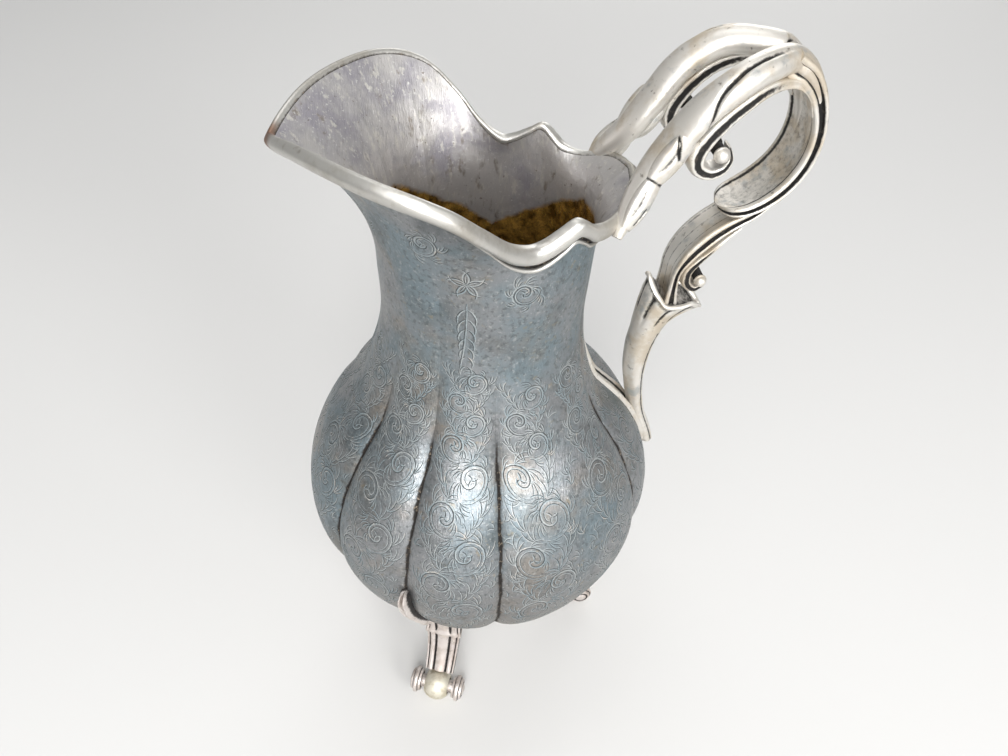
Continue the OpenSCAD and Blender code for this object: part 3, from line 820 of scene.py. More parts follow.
@dataclass
class Handle:
    """Cast handle: paired strands with leaves and volutes, loop, scroll, cap, stem and terminal."""

    vessel: Vessel
    strand_w: float = 7.2
    strand_t: float = 5.2
    loop_w: float = 12.4
    loop_t: float = 2.9
    scroll_w: float = 9.0
    volute_w: float = 4.6
    bead_d: float = 3.0
    scroll_bead_d: float = 2.8
    strand_path: Rows = (
        (22.4, 14, 150.2, 0.3, 0.34), (25, 11.1, 154.7, 0.7, 0.74), (28.5, 8.5, 160.4, 0.92, 0.92),
        (32.2, 7.9, 166.3, 1, 0.98), (36, 8.3, 171.9, 1, 1), (40.7, 8.1, 176, 0.96, 1),
        (45.3, 6.6, 178.1, 0.9, 1), (51.4, 3.3, 178.35, 0.86, 1))
    # The strands run on over the loop's crown and sink into it
    strand_tail: Rows = (
        (54.6, 3.2, 177.0, 0.8, 0.92), (57.6, 3.2, 173.9, 0.66, 0.74), (59.6, 3.2, 169.9, 0.54, 0.6),
        (60.8, 3.1, 165.6, 0.4, 0.47), (60.9, 3.0, 162.5, 0.25, 0.36))
    volute_path: Rows = (
        (58.4, 4.6, 168.8, 0.5, 0.8), (57, 4.7, 172, 0.55, 1.2), (54.2, 4.9, 174.6, 0.6, 1.6),
        (50.4, 5.6, 175.4, 0.7, 2.2), (46.4, 7, 174.9, 0.85, 2.6), (43, 8.1, 173.2, 0.97, 2.8),
        (40.2, 8.5, 170.8, 1, 3), (37.8, 8.6, 167.8, 1, 3.2), (36.2, 8.6, 164.6, 1, 3.4),
        (36.6, 8.6, 161.8, 1, 3), (39, 8.6, 160.5, 1, 2.5), (41.4, 8.6, 161.3, 0.97, 2),
        (42.4, 8.6, 163.4, 0.9, 1.3), (41.8, 8.6, 165.6, 0.7, 0.4))
    loop_path: Rows = (
        (51.5, 178.3, 1.04, 1.95), (55.2, 176.2, 1.02, 1.65), (58.2, 172.6, 1, 1.3), (60.2, 168, 1, 1.05),
        (60.9, 163.4, 1, 1), (60.3, 158.8, 1, 1), (58.3, 154.6, 1, 1), (55.2, 151.3, 1, 0.95),
        (51.8, 149.2, 0.96, 0.85), (49.2, 148.2, 0.8, 0.75), (47.8, 147.8, 0.55, 0.6),
        (47.1, 147.6, 0.2, 0.4))
    scroll_path: Rows = (
        (57.2, 149.9, 0.9, 1.2), (54, 147.4, 1, 2), (50.8, 145.4, 1, 2.6), (47.8, 143.2, 1, 3),
        (45.1, 140.5, 1, 3.2), (42.6, 137.2, 0.98, 2.8), (40.9, 133.4, 0.95, 1.9), (40.8, 129, 0.92, 2.2),
        (41.1, 124.8, 0.9, 3.4))
    curl_path: Rows = (
        (52.6, 143.5, 0.7, 0.7), (49.2, 140.7, 0.9, 1), (46.8, 138, 0.95, 1.4), (44.9, 135.8, 0.95, 2),
        (43.3, 133.3, 0.95, 2.5), (43.5, 130.4, 0.95, 2.4), (45.4, 128.7, 0.92, 2),
        (47.4, 129.5, 0.85, 1.3))
    stem_path: Rows = (
        (76, 44.9, 1.8, 2.4), (81, 42.9, 2.2, 2.6), (88, 40.2, 2.1, 2.5), (95.5, 38.4, 2.3, 2.6),
        (103, 37.3, 2.8, 2.8), (110, 37.3, 3.3, 3.1), (115.4, 38.1, 3.7, 3.5))
    terminal_path: Rows = (
        (71, 0.8, 0.8), (74.5, 2.3, 1.5), (80, 3.3, 2), (88, 3.2, 1.9), (98, 2.7, 1.6), (107, 2, 1.2),
        (113, 0.8, 0.6))
    bead_place: tuple[float, float, float] = (40.2, 8.6, 164.6)
    curl_eye: tuple[float, float, float] = (46.2, 0.0, 131.3)
    cap_centre: tuple[float, float] = (41.2, 125.4)
    cap_side: float = 4.9
    cap_left: tuple[float, float] = (5.2, 4.6)
    cap_right: tuple[float, float] = (8.2, -4.4)
    # Turn of the chased groove along a strand: share of the way, degrees
    groove_way: Rows = (
        (0.0, -75), (0.4, -75), (0.5, -66), (0.57, -20), (0.64, 36), (0.73, 60), (0.84, 68), (1.0, 66))

    def strand(self) -> Skin:
        """One strand on the right side: an oval bar with a groove that climbs over it, and a reed."""
        path = spline([*self.strand_path, *self.strand_tail], 24)
        way = spline(self.groove_way, 12)
        span = (len(self.strand_path) - 1) * 24

        def section(i: int, _: float) -> np.ndarray:
            s = min(1.0, i / span)
            turn = np.linspace(-180, 180, 64, endpoint=False)
            centre = np.interp(s, way[:, 0], way[:, 1])
            shown = float(smooth(0.43, 0.5, s)) * (1 - 0.8 * float(smooth(0.84, 1.0, s)))
            cut = bump(turn, centre, 9.5) * shown
            under = bump(turn, -62, 6) * float(smooth(0.5, 0.6, s)) * 0.8
            reed = bump(turn, -2, 34) * float(smooth(0.418, 0.446, s)) * (1 - float(smooth(0.47, 0.62, s)))
            depth = 0.62 * cut + 0.3 * under - 0.5 * reed
            a = np.radians(turn)
            half = np.array([path[i, 3] * self.strand_w / 2, path[i, 4] * self.strand_t / 2])
            across, up = (half[0] - depth) * np.cos(a), (half[1] - depth) * np.sin(a)
            return np.stack([across, up, np.maximum(cut, under)], -1)

        return sweep(path, section)

    def leaf(self) -> Skin:
        """Lobed leaf that wraps the lower part of a strand, on the right side."""
        path = spline(self.strand_path, 24)[8:81]

        def section(i: int, s: float) -> np.ndarray:
            swell = abs(math.sin(math.pi * 2 * s)) ** 0.8
            start, stop = -100 - 40 * swell, 40 + 15 * swell
            turn = np.linspace(start, stop, 36)
            a = np.radians(turn)
            thick = 0.7 * (0.35 + 0.9 * swell) * (1 + 0.2 * np.maximum(0, -np.sin(a)))
            half = np.array([path[i, 3] * self.strand_w / 2, path[i, 4] * self.strand_t / 2])
            edge = np.minimum(1, 4 * np.sin(np.linspace(0, np.pi, 36)))
            vein = bump(turn, 30 - 22 * swell, 7) * swell
            rib = 0.8 * bump(turn, -52, 7) * swell
            # Painted shade: dark slits in the lobes, a dark gap between the two lobes, and a dark back
            # under the leaf
            upper = bump(turn, float(np.interp(s, (0.8, 0.97), (-14, 40))), 7) * float(
                smooth(0.77, 0.82, s) * (1 - smooth(0.95, 0.99, s)))
            lower = bump(turn, -30, 7) * float(smooth(0.04, 0.08, s) * (1 - smooth(0.24, 0.3, s)))
            slit = np.minimum(1, upper + lower)
            gap = bump(s, 0.5, 0.02)
            top = 0.05 + thick * edge * (1 - 0.4 * np.maximum(vein, rib) - 0.7 * slit)
            dark = np.clip(0.7 * vein + 0.5 * rib + 1.2 * slit + 0.8 * gap, 0, 1)
            face = np.stack([(half[0] + top) * np.cos(a), (half[1] + top) * np.sin(a), dark], -1)
            back = np.stack([(half[0] - 0.15) * np.cos(a), (half[1] - 0.15) * np.sin(a), 0.8 + 0 * a], -1)
            return np.vstack([face, back[::-1]])

        return sweep(path, section)

    def strap(self, path: np.ndarray, width: float) -> Skin:
        """Strap with a groove along each edge.

        Args:
            path: rows of x, y, z, share of the width and thickness.
            width: full width.

        Returns:
            The strap's skin.
        """

        def section(i: int, s: float) -> np.ndarray:
            turn = np.arange(44) / 44 * 360
            a = np.radians(turn)
            w, t = path[i, 3] * width / 2, path[i, 4] / 2
            line = bump((turn + 180) % 360, 180, 20) + bump(turn, 180, 20)
            x = np.sign(np.cos(a)) * np.abs(np.cos(a)) ** 0.55 * (w - 0.3 * line)
            y = np.sign(np.sin(a)) * np.abs(np.sin(a)) ** 0.7 * t
            return np.stack([x, y, np.clip(line, 0, 1) * float(smooth(0.1, 0.4, s))], -1)

        return sweep(path, section)

    def pin(self, d: float, length: float, place: Sequence[float]) -> Skin:
        """Pin along Y with a domed bead at each end, set in a dark ring.

        Args:
            d: diameter.
            length: length between the beads.
            place: middle of the pin.

        Returns:
            The pin's skin.
        """
        h, r = length / 2, d / 2
        bulge = 0.9 * r
        dome = [(h + bulge * math.sin(x), bulge * math.cos(x) + 0.01, 0.0)
                for x in np.linspace(0.1, 1.56, 12)]
        half = [(0.0, r * 0.8, 1.0), (h - 0.5, r * 0.8, 1.0), (h - 0.4, r, 0.5), (h, r, 0.1), *dome]
        rows = [(-y, q, dark) for y, q, dark in half[:0:-1]] + half
        return lathe(rows).turned(Matrix.Translation(place))

    def ribbon(self, w: float, t: float, split: float, lines: int, darkening: float) -> np.ndarray:
        """Section of a ribbon: crowned outside, a channel between reeds on each edge, hollow inside.

        Args:
            w: width.
            t: thickness.
            split: depth of a groove down the middle of the outer face.
            lines: fine lines chased in the hollow.
            darkening: how much darker the hollow is made, from 0 to 1.

        Returns:
            Rows of sideways, outward and recess.
        """
        x = np.linspace(0.5, -0.5, 25)
        crown = np.stack([x * 0.94 * w, t * (0.5 - 0.5 * x ** 2) - split * bump(x, 0, 0.06),
                          split * bump(x, 0, 0.06) * 1.4], -1)
        edge = np.array([(-0.495, 0.33, 0), (-0.5, 0.26, 0), (-0.495, 0.19, 0.2), (-0.47, 0.14, 0.8),
                         (-0.43, 0.08, 1), (-0.425, -0.05, 1), (-0.45, -0.14, 1), (-0.475, -0.18, 0.7),
                         (-0.492, -0.25, 0), (-0.49, -0.36, 0), (-0.465, -0.46, 0),
                         (-0.43, -0.5, 0)]) * np.array([w, t, 1.0])
        y = np.linspace(-0.4, 0.4, 41)
        chased = 0.0 * y
        for k in range(lines):
            chased = chased + bump(y, (k + 0.5) / lines * 0.6 - 0.3, 0.012)
        rim = bump(np.abs(y), 0.37, 0.02)
        vault = np.cos(y / 0.4 * np.pi / 2).clip(0) ** 0.7
        hollow = np.stack([y * w, t * (-0.5 + 0.34 * vault) + 0.06 * chased,
                           np.clip(0.75 * chased + 0.55 * rim + darkening, 0, 1)], -1)
        far = edge[::-1] * np.array([-1.0, 1.0, 1.0])
        return np.vstack([crown, edge, hollow, far])

    def loop(self) -> Skin:
        """Broad ribbon from the joined strands round to its rounded tongue."""
        path = spline(in_plane(self.loop_path), 8)

        def section(i: int, s: float) -> np.ndarray:
            split = 0.75 * (1 - float(smooth(0.0, 0.25, s)))
            return self.ribbon(path[i, 3] * self.loop_w, path[i, 4] * self.loop_t, split, 0, 0.36)

        return sweep(path, section)

    def scroll(self) -> Skin:
        """Ribbon under the tongue, chased with lines, that runs into the cap."""
        path = spline(in_plane(self.scroll_path), 8)
        return sweep(path, lambda i, s: self.ribbon(path[i, 3] * self.scroll_w, path[i, 4], 0.0, 2, 0.1))

    def cap(self) -> Skin:
        """Leaf-shaped socket with veins and a rolled lip, spread from the stem's end to its two tips."""
        end = self.stem_path[-1]
        a = np.arange(96) / 96 * 2 * np.pi
        c, s = np.cos(a), np.sin(a)
        reach = np.where(c > 0, self.cap_right[0], self.cap_left[0])
        lift = np.where(c > 0, self.cap_right[1], self.cap_left[1])
        tip = np.stack([self.cap_centre[0] + reach * c, self.cap_side * s,
                        self.cap_centre[1] + lift * np.abs(c) ** 3], -1)
        low = np.stack([end[1] + end[2] * c, end[3] * s, np.full(96, end[0])], -1)
        tip[:, 2] -= 1.2 * bump(np.abs(s), 1.0, 0.12)
        vein = np.abs(np.cos(4 * a)) ** 10
        out = unit((tip - tip.mean(0)) * np.array([1.0, 1.0, 0.0]))
        rings, recess = [], []
        for k in np.linspace(0, 1, 21):
            spread = 0.38 * k + 0.62 * k ** 2.6
            ring = low + (tip - low) * np.array([spread, spread, k])
            fade = float(smooth(0.15, 0.5, k) * (1 - smooth(0.86, 0.95, k)))
            under = bump(k, 0.93, 0.04)
            rings.append(ring - out * (0.3 * fade * vein + 0.25 * under)[:, None])
            recess.append(np.clip(0.8 * vein * fade + 0.7 * under, 0, 1))
        for push, raised, dark in ((0.4, 0.1, 0.0), (0.55, 0.45, 0.0), (0.35, 0.8, 0.0), (-0.1, 0.95, 0.0),
                                   (-0.5, 0.75, 0.0), (-0.75, 0.4, 0.4), (-0.9, -0.1, 0.7)):
            rings.append(tip + out * push + np.array([0.0, 0.0, raised]))
            recess.append(np.full(96, dark))
        rings.append(tip.mean(0) + (tip - tip.mean(0)) * 0.4 - np.array([0.0, 0.0, 0.3]))
        recess.append(np.full(96, 0.5))
        return Skin(np.array(rings), np.array(recess))

    def stem(self) -> Skin:
        """Plain tapering stem in level slices, seated on the terminal, with one chased line."""
        rows = spline(self.stem_path, 8)
        depth = spline(self.terminal_path, 6)
        a = np.arange(48) / 48 * 2 * np.pi
        line = bump(np.degrees(a), 312, 9)
        z = rows[:, :1] + 0 * a
        x = rows[:, 1:2] + (rows[:, 2:3] - 0.18 * line) * np.cos(a)
        seat = self.vessel.reach(np.zeros(1), rows[:, 0]) + np.interp(rows[:, 0], depth[:, 0], depth[:, 2])
        x = np.maximum(x, seat[:, None] - 0.1)
        y = (rows[:, 3:4] - 0.18 * line) * np.sin(a)
        return Skin(np.stack([x, y, z], -1), np.repeat(0.85 * line[None], len(rows), 0))

    def terminal(self) -> Skin:
        """Long pointed strap on the body: raised edges and a granulated channel."""
        return body_strap(self.vessel, spline(self.terminal_path, 8), 0.0,
                          lambda x: 0.55 + 0.45 * bump(np.abs(x), 0.72, 0.16),
                          lambda x: bump(np.abs(x), 0.4, 0.14))

    def build(self) -> list[bpy.types.Object]:
        """Builds every piece of the handle.

        Returns:
            The pieces, in order from the strands down to the terminal.
        """
        cast = CAST_SILVER.material()
        made = []
        curl = spline(in_plane(self.curl_path), 9)
        paired = {"strand": (self.strand(), 60), "strand_leaf": (self.leaf(), 50),
                  "strand_volute": (self.strap(spline(self.volute_path, 9), self.volute_w), 60),
                  "volute_bead": (self.pin(self.bead_d, self.volute_w, self.bead_place), 40)}
        for node, (skin, crease) in paired.items():
            for side in Side:
                obj = piece(f"{node.capitalize()}_{side.ending}", [skin.mirrored(side)], [cast], crease)
                made.append(dress(obj, Slot.CAST, [f"{node}_{side.ending}"]))
        single = {"handle_loop": (self.loop(), 50), "lower_scroll": (self.scroll(), 50),
                  "scroll_volute": (self.strap(curl, self.scroll_w), 60),
                  "scroll_bead": (self.pin(self.scroll_bead_d, self.scroll_w * 0.95, self.curl_eye), 40),
                  "leaf_cap": (self.cap(), 60), "handle_stem": (self.stem(), 60),
                  "handle_terminal": (self.terminal(), 60)}
        for node, (skin, crease) in single.items():
            made.append(dress(piece(node.capitalize(), [skin], [cast], crease), Slot.CAST, [node]))
        return made


def body_strap(vessel: Vessel, path: np.ndarray, turn: float, crown: Callable[[np.ndarray], np.ndarray],
               dark: Callable[[np.ndarray], np.ndarray]) -> Skin:
    """Strap that lies in a fold of the body.

    Args:
        vessel: body that carries the strap.
        path: rows of height, half width and thickness.
        turn: turn of the strap's middle, in degrees.
        crown: share of the thickness for places from -1 to 1 across the strap.
        dark: recess for places across the strap.

    Returns:
        The strap's skin.
    """
    x = np.linspace(-1, 1, 33)
    rings, recess = [], []
    for z, half, thick in path:
        across = turn + x * np.degrees(half / vessel.reach(turn + vessel.fold_spread, z))
        under = vessel.reach(across, np.full(x.shape, z))
        floor = vessel.reach(turn, z)
        lifted = floor + 0.7 * np.maximum(0, under - floor)
        edge = np.minimum(1, 3.2 * (1 - np.abs(x))) ** 0.7
        top = lifted + 0.1 + thick * crown(x) * (0.3 + 0.7 * edge)
        r = np.concatenate([top, (under - 0.2)[::-1]])
        a = np.radians(np.concatenate([across, across[::-1]]))
        rings.append(np.stack([r * np.cos(a), r * np.sin(a), np.full(r.shape, z)], -1))
        # Painted shade on the strap's two outer edges and over its whole underside
        shade = np.maximum(dark(x), (np.abs(x) > 0.99) * 0.8)
        recess.append(np.concatenate([shade, np.full(x.shape, 0.9)]))
    return Skin(np.array(rings), np.array(recess))


@dataclass
class Foot:
    """One scroll foot: knee leaf, reeded stem, toe bar with ringed scrolls, ball."""

    vessel: Vessel
    name: str
    turn: float
    face: float
    knee: float
    pivot: float = 24.0
    reach: float = 34.0
    ball_d: float = 9.0
    flat: float = 0.2
    toe_d: float = 7.4
    toe_len: float = 15.4
    toe_t: float = 3.0
    stem_w: float = 9.8
    reed_edges: tuple[float, ...] = (-1.0, -0.72, -0.34, 0.34, 0.72, 1.0)
    reed_depth: float = 1.0
    stem_path: Rows = (
        (27.8, 37.5, 1.04, 6.6), (25.6, 32.5, 1.04, 6), (24.4, 27, 1.02, 5.6), (24.6, 21, 1, 5.2),
        (26.2, 15.4, 0.94, 5), (28.6, 10.8, 0.9, 4.8), (30.8, 7.8, 0.88, 4.4))
    leaf_path: Rows = (
        (39, 2.4, 5.2), (45, 2, 4), (50, 1.7, 3), (55, 1.5, 2.6), (60, 1.5, 2.7), (65, 1.5, 3),
        (69, 1.3, 3.2), (71, 0.9, 2.4))

    def placing(self) -> Matrix:
        """Matrix from a foot built along +X to its place under the body."""
        a = math.radians(self.turn)
        there = Matrix.Translation((self.pivot * math.cos(a), self.pivot * math.sin(a), 0))
        facing = Matrix.Rotation(math.radians(self.face), 4, "Z")
        return there @ facing @ Matrix.Translation((-self.pivot, 0, 0))

    def stem(self) -> Skin:
        """Stem with rounded reeds on its front, whose top follows the underside of the body."""
        path = spline(in_plane(self.stem_path), 8)
        share = np.linspace(-1, 1, 81)
        x = np.sin(share * 1.25) / math.sin(1.25)
        edges = np.array(self.reed_edges)
        reed = np.clip(np.searchsorted(edges, share, side="right") - 1, 0, len(edges) - 2)
        within = 2 * (share - edges[reed]) / (edges[reed + 1] - edges[reed]) - 1
        round_off = 1 - np.sqrt(np.maximum(0, 1 - within ** 2 * 0.97))
        back = np.linspace(1, -1, 81)

        def section(i: int, s: float) -> np.ndarray:
            collar = float(bump(s, 0.47, 0.03))
            w, d = path[i, 3] * self.stem_w * (1 + 0.08 * collar), path[i, 4] + 1.1 * collar
            cut = (1 - 0.7 * collar) * round_off
            front = np.stack([-x * w / 2, d / 2 - self.reed_depth * cut - 0.5 * x ** 2,
                              smooth(0.16, 0.5, cut)], -1)
            rear = np.stack([-back * w * 0.44, -d / 2 + 0.5 * back ** 2, 0.08 + 0 * back], -1)
            return np.vstack([front, rear])

        skin = sweep(path, section)
        profile = self.vessel.profile[self.vessel.profile[:, 1] < 62]
        seat = np.interp(np.hypot(skin.rings[0, :, 0], skin.rings[0, :, 1]), profile[:, 0], profile[:, 1])
        skin.rings[0, :, 2] = seat
        return skin

    def scrolls(self) -> list[Skin]:
        """Bar across the toe and the ringed scroll at each of its ends."""
        r, t, h = self.toe_d / 2, self.toe_t, self.toe_len / 2
        bar = lathe([(y, r * 0.5, 0.4) for y in np.linspace(-h + 0.5, h - 0.5, 5)])
        disc = [(h - t, r * 0.5, 0.9), (h - t, r * 0.74, 0.3), (h - t * 0.97, r * 0.8, 0),
                (h - t * 0.78, r * 0.8, 0.3), (h - t * 0.72, r * 0.84, 1), (h - t * 0.68, r * 0.96, 0.2),
                (h - t * 0.6, r, 0), (h - t * 0.4, r, 0), (h - t * 0.32, r * 0.96, 0.2),
                (h - t * 0.28, r * 0.84, 1), (h - t * 0.22, r * 0.8, 0.3), (h - t * 0.08, r * 0.8, 0),
                (h, r * 0.72, 0), (h - 0.05, r * 0.56, 0.9), (h - 0.1, r * 0.5, 1),
                (h + 0.15, r * 0.42, 0.1), (h + 0.4, r * 0.26, 0), (h + 0.45, 0.02, 0)]
        outer = lathe(disc)
        middle = Matrix.Translation((self.reach, 0, self.ball_d / 2 - self.flat))
        return [s.turned(middle) for s in (bar, outer, outer.mirrored(Side.LEFT))]

    def ball(self) -> Skin:
        """Ball strung on the bar, worn flat where it stands."""
        r = self.ball_d / 2
        reach = 0.88
        rows = [(r * math.sin(x), r * math.cos(x), 0.0) for x in np.linspace(-reach, reach, 29)]
        ends = [(-r * 0.76, r * 0.42, 1.0)], [(r * 0.76, r * 0.42, 1.0)]
        skin = lathe([*ends[0], *rows, *ends[1]], 64)
        skin.rings[..., 2] = np.maximum(skin.rings[..., 2], -r + self.flat)
        return skin.turned(Matrix.Translation((self.reach, 0, r - self.flat)))

    def leaf(self) -> Skin:
        """Leaf on the knee, ridged down its middle."""
        # The knee leaf's dark edges are painted shade; its dark middle line lies in its groove
        return body_strap(self.vessel, spline(self.leaf_path, 8), self.knee,
                          lambda x: 0.6 + 0.4 * bump(np.abs(x), 0.45, 0.3) - 0.3 * bump(x, 0, 0.14),
                          lambda x: 0.6 * bump(x, 0, 0.13) + 0.85 * smooth(0.66, 0.9, np.abs(x)))

    def build(self, silver: bpy.types.Material, worn: bpy.types.Material) -> list[bpy.types.Object]:
        """Builds the foot's pieces.

        Args:
            silver: material of the castings.
            worn: material of the ball.

        Returns:
            Leaf, stem, toe bar and ball.
        """
        m = self.placing()
        parts = {"foot_leaf": ([self.leaf()], silver, 60),
                 "foot_stem": ([self.stem().turned(m)], silver, 70),
                 "foot_scroll": ([s.turned(m) for s in self.scrolls()], silver, 50),
                 "foot_ball": ([self.ball().turned(m)], worn, 40)}
        return [dress(piece(f"{node.capitalize()}_{self.name}", skins, [material], crease), Slot.FOOT,
                      [f"{node}_{self.name}"]) for node, (skins, material, crease) in parts.items()]


@dataclass
class Stroke:
    """One cut of the graver: places on the body as turn and height, and half widths."""

    turn: np.ndarray
    z: np.ndarray
    half: np.ndarray


@dataclass
class Engraving:
    """Scrolling foliage engraved on one lobe, or round the neck."""

    vessel: Vessel
    name: str
    centre: float
    seed: int
    width: float = 0.46
    depth: float = 0.014
    clear_mm: float = 0.9
    # Strokes stop at a fold up to fold_top, at rim_mm below the mouth's edge, and at lowest
    fold_top: float = 112.0
    rim_mm: float = 4.6
    lowest: float = 37.0
    # Turn from the panel's middle at which its radius is read
    aside: float = 12.0
    # A lobe wider than wide has a pair of columns. Heights of the columns and of the filled field
    wide: float = 45.0
    single_low: float = 42.0
    pair_low: float = 41.0
    column_top: float = 120.0
    fill_low: float = 39.0
    fill_top: float = 112.0
    tries_per_degree: int = 16
    gap_mm: float = 1.5
    spray_mm: tuple[float, float] = (2.2, 3.6)
    # Ornament on the neck: places across and up, and sizes
    flower_z: float = 147.0
    petal: float = 4.2
    upper_eye: tuple[float, float] = (7.6, 155.0)
    upper_r: float = 3.6
    side_eye: tuple[float, float] = (10.6, 144.4)
    side_r: float = 3.4
    trail_z: float = 142.5
    trail: float = 18.0
    strokes: list[Stroke] = field(default_factory=list)
    taken: list[np.ndarray] = field(default_factory=list)
    rng: np.random.Generator = field(init=False)

    def __post_init__(self) -> None:
        """Starts the source of small differences."""
        self.rng = np.random.default_rng(self.seed)

    @property
    def fine_width(self) -> float:
        """Width of the finer strokes."""
        return self.width * 0.8

    def radius_at(self, z: float) -> float:
        """Radius of the body at a height, beside the middle of the panel."""
        return float(self.vessel.reach(self.centre + self.aside, z))

    def cut(self, x: np.ndarray, z: np.ndarray, width: float) -> None:
        """Lays one stroke on the body, up to where it would meet a fold, the base or the rim.

        Args:
            x: places across the panel, in millimetres.
            z: heights.
            width: full width at the middle of the stroke.
        """
        radius = self.vessel.reach(np.full(x.shape, self.centre + self.aside), z)
        turn = self.centre + np.degrees(x / radius)
        fold_mm = self.vessel.near_fold(turn) * self.vessel.reach(turn, z) / ARC
        top = self.vessel.neck_z + self.vessel.rise(turn) - self.rim_mm
        in_fold = (fold_mm < self.clear_mm) & (z < self.fold_top)
        out = in_fold | (z > top) | (z < self.lowest)
        stop = int(np.argmax(out)) if out.any() else len(x)
        if stop < 4:
            return
        turn, x, z = turn[:stop], x[:stop], z[:stop]
        self.taken.append(np.stack([x, z], -1))
        share = np.linspace(0, 1, stop)
        taper = 0.3 + 0.7 * np.sin(np.pi * np.clip(share * 0.9 + 0.05, 0, 1)) ** 0.6
        self.strokes.append(Stroke(turn, z, width / 2 * taper))

    def comma(self, start: tuple[float, float], heading: float, length: float, wind: float, width: float,
              samples: int = 8) -> None:
        """Cuts a short curved stroke.

        Args:
            start: place across the panel and height.
            heading: first direction, in degrees from across.
            length: length of the stroke.
            wind: how far the direction turns, in degrees.
            width: width of the cut.
            samples: points on the stroke.
        """
        way = np.radians(heading + wind * np.linspace(0, 1, samples))
        step = length / (samples - 1)
        x = start[0] + np.concatenate([[0], np.cumsum(np.cos(way[:-1]) * step)])
        z = start[1] + np.concatenate([[0], np.cumsum(np.sin(way[:-1]) * step)])
        self.cut(x, z, width)

    def spiral(self, eye: tuple[float, float], radius: float, begin: float, hand: int, rounds: float,
               width: float) -> np.ndarray:
        """Cuts a line that winds in to an eye.

        Args:
            eye: place across the panel and height of the eye.
            radius: distance from the eye at the start.
            begin: direction from the eye to the start, in degrees.
            hand: 1 to wind to the left, -1 to the right.
            rounds: turns of the spiral.
            width: width of the cut.

        Returns:
            Rows of place across, height and direction.
        """
        share = np.linspace(0, 1, round(22 * rounds))
        r = radius * (1 - 0.86 * share ** 0.85)
        a = np.radians(begin + hand * 360 * rounds * share)
        x, z = eye[0] + r * np.cos(a), eye[1] + r * np.sin(a)
        self.cut(x, z, width)
        return np.stack([x, z, np.degrees(a) + hand * 90], -1)

    def fronds(self, line: np.ndarray, size: float, hand: int, every: int) -> None:
        """Cuts small leaves of three strokes along the outside of a line.

        Args:
            line: rows of place across, height and direction.
            size: length of the largest leaf.
            hand: side to which the line winds.
            every: points between two leaves.
        """
        for k in range(1, len(line), every):
            x, z, way = line[k]
            long = size * self.rng.uniform(0.75, 1.15)
            out = way - hand * self.rng.uniform(52, 74)
            for spread, share in ((0, 1.0), (26, 0.84), (50, 0.6)):
                self.comma((x, z), out + hand * spread, long * share, hand * (95 - spread), self.fine_width)

    def scroll(self, eye: tuple[float, float], radius: float, begin: float, hand: int) -> None:
        """Cuts a foliage scroll: a double line that winds to its eye, leaves outside it and a bud in it.

        Args:
            eye: place across the panel and height of the eye.
            radius: size of the scroll.
            begin: direction from the eye to the start, in degrees.
            hand: side to which it winds, 1 or -1.
        """
        line = self.spiral(eye, radius, begin, hand, 1.45, self.width * 1.2)
        self.spiral(eye, radius * 0.82, begin + hand * 16, hand, 1.1, self.fine_width)
        self.fronds(line[:22], radius * 0.85, hand, 3)
        for k in range(3):
            self.comma(eye, begin + 120 * k, radius * 0.28, 60, self.width, 6)

    def column(self, offset: float, span: float, low: float, high: float, hand: int) -> None:
        """Fills a column of the lobe with scrolls to the left and the right in turn.

        Args:
            offset: middle of the column, in degrees from the middle of the lobe.
            span: width of the column in degrees.
            low: height at the bottom.
            high: height at the top.
            hand: side of the first scroll.
        """
        z = low
        while z < high:
            room = math.radians(span) * self.radius_at(z)
            middle = math.radians(offset) * self.radius_at(z)
            radius = 0.25 * room * self.rng.uniform(0.92, 1.08)
            eye = (middle + hand * 0.13 * room, z + radius)
            self.scroll(eye, radius, -90 - hand * 40, hand)
            for k in range(4):
                start = (middle - hand * room * (0.1 + 0.07 * k), z + radius * (0.2 + 0.45 * k))
                for spread in (0, 28, 56):
                    self.comma(start, 90 + hand * (20 + spread), radius * 0.75, -hand * 70, self.fine_width)
            z += radius * 1.55
            hand = -hand

    def fill(self, span: float, low: float, high: float, tries: int) -> None:
        """Cuts small sprays of three leaves wherever there is room between the strokes.

        Args:
            span: width of the field in degrees.
            low: height at the bottom.
            high: height at the top.
            tries: places that are tried.
        """
        spots = np.vstack(self.taken)
        for _ in range(tries):
            z = self.rng.uniform(low, high)
            x = self.rng.uniform(-0.5, 0.5) * math.radians(span) * self.radius_at(z)
            if np.min(np.hypot(spots[:, 0] - x, spots[:, 1] - z)) < self.gap_mm:
                continue
            way, hand = self.rng.uniform(50, 130), self.rng.choice((-1, 1))
            for spread, share in ((-48, 0.7), (0, 1.0), (44, 0.75)):
                long = self.rng.uniform(*self.spray_mm) * share
                self.comma((x, z), way + spread, long, hand * 75, self.fine_width)
            spots = np.vstack([spots, *self.taken[-3:]])

    def flower(self, x: float, z: float, size: float) -> None:
        """Cuts a five-petalled flower.

        Args:
            x: place of its middle across the panel.
            z: height of its middle.
            size: length of a petal.
        """
        for way in range(90, 450, 72):
            for hand in (1, -1):
                self.comma((x, z), way - hand * 36, size, hand * 105, self.width, 10)
            self.comma((x, z), way, size * 0.5, 6, self.width * 0.7, 5)

    def lobe(self, span: float) -> "Engraving":
        """Engraves a lobe: one column of scrolls if it is narrow, a mirrored pair if it is wide.

        Args:
            span: width of the lobe in degrees.

        Returns:
            This engraving.
        """
        if span > self.wide:
            self.column(-span / 4, span / 2, self.pair_low, self.column_top, 1)
            self.column(span / 4, span / 2, self.pair_low, self.column_top, -1)
        else:
            self.column(0.0, span, self.single_low, self.column_top, 1 if self.seed % 2 else -1)
        self.fill(span, self.fill_low, self.fill_top, round(span * self.tries_per_degree))
        return self

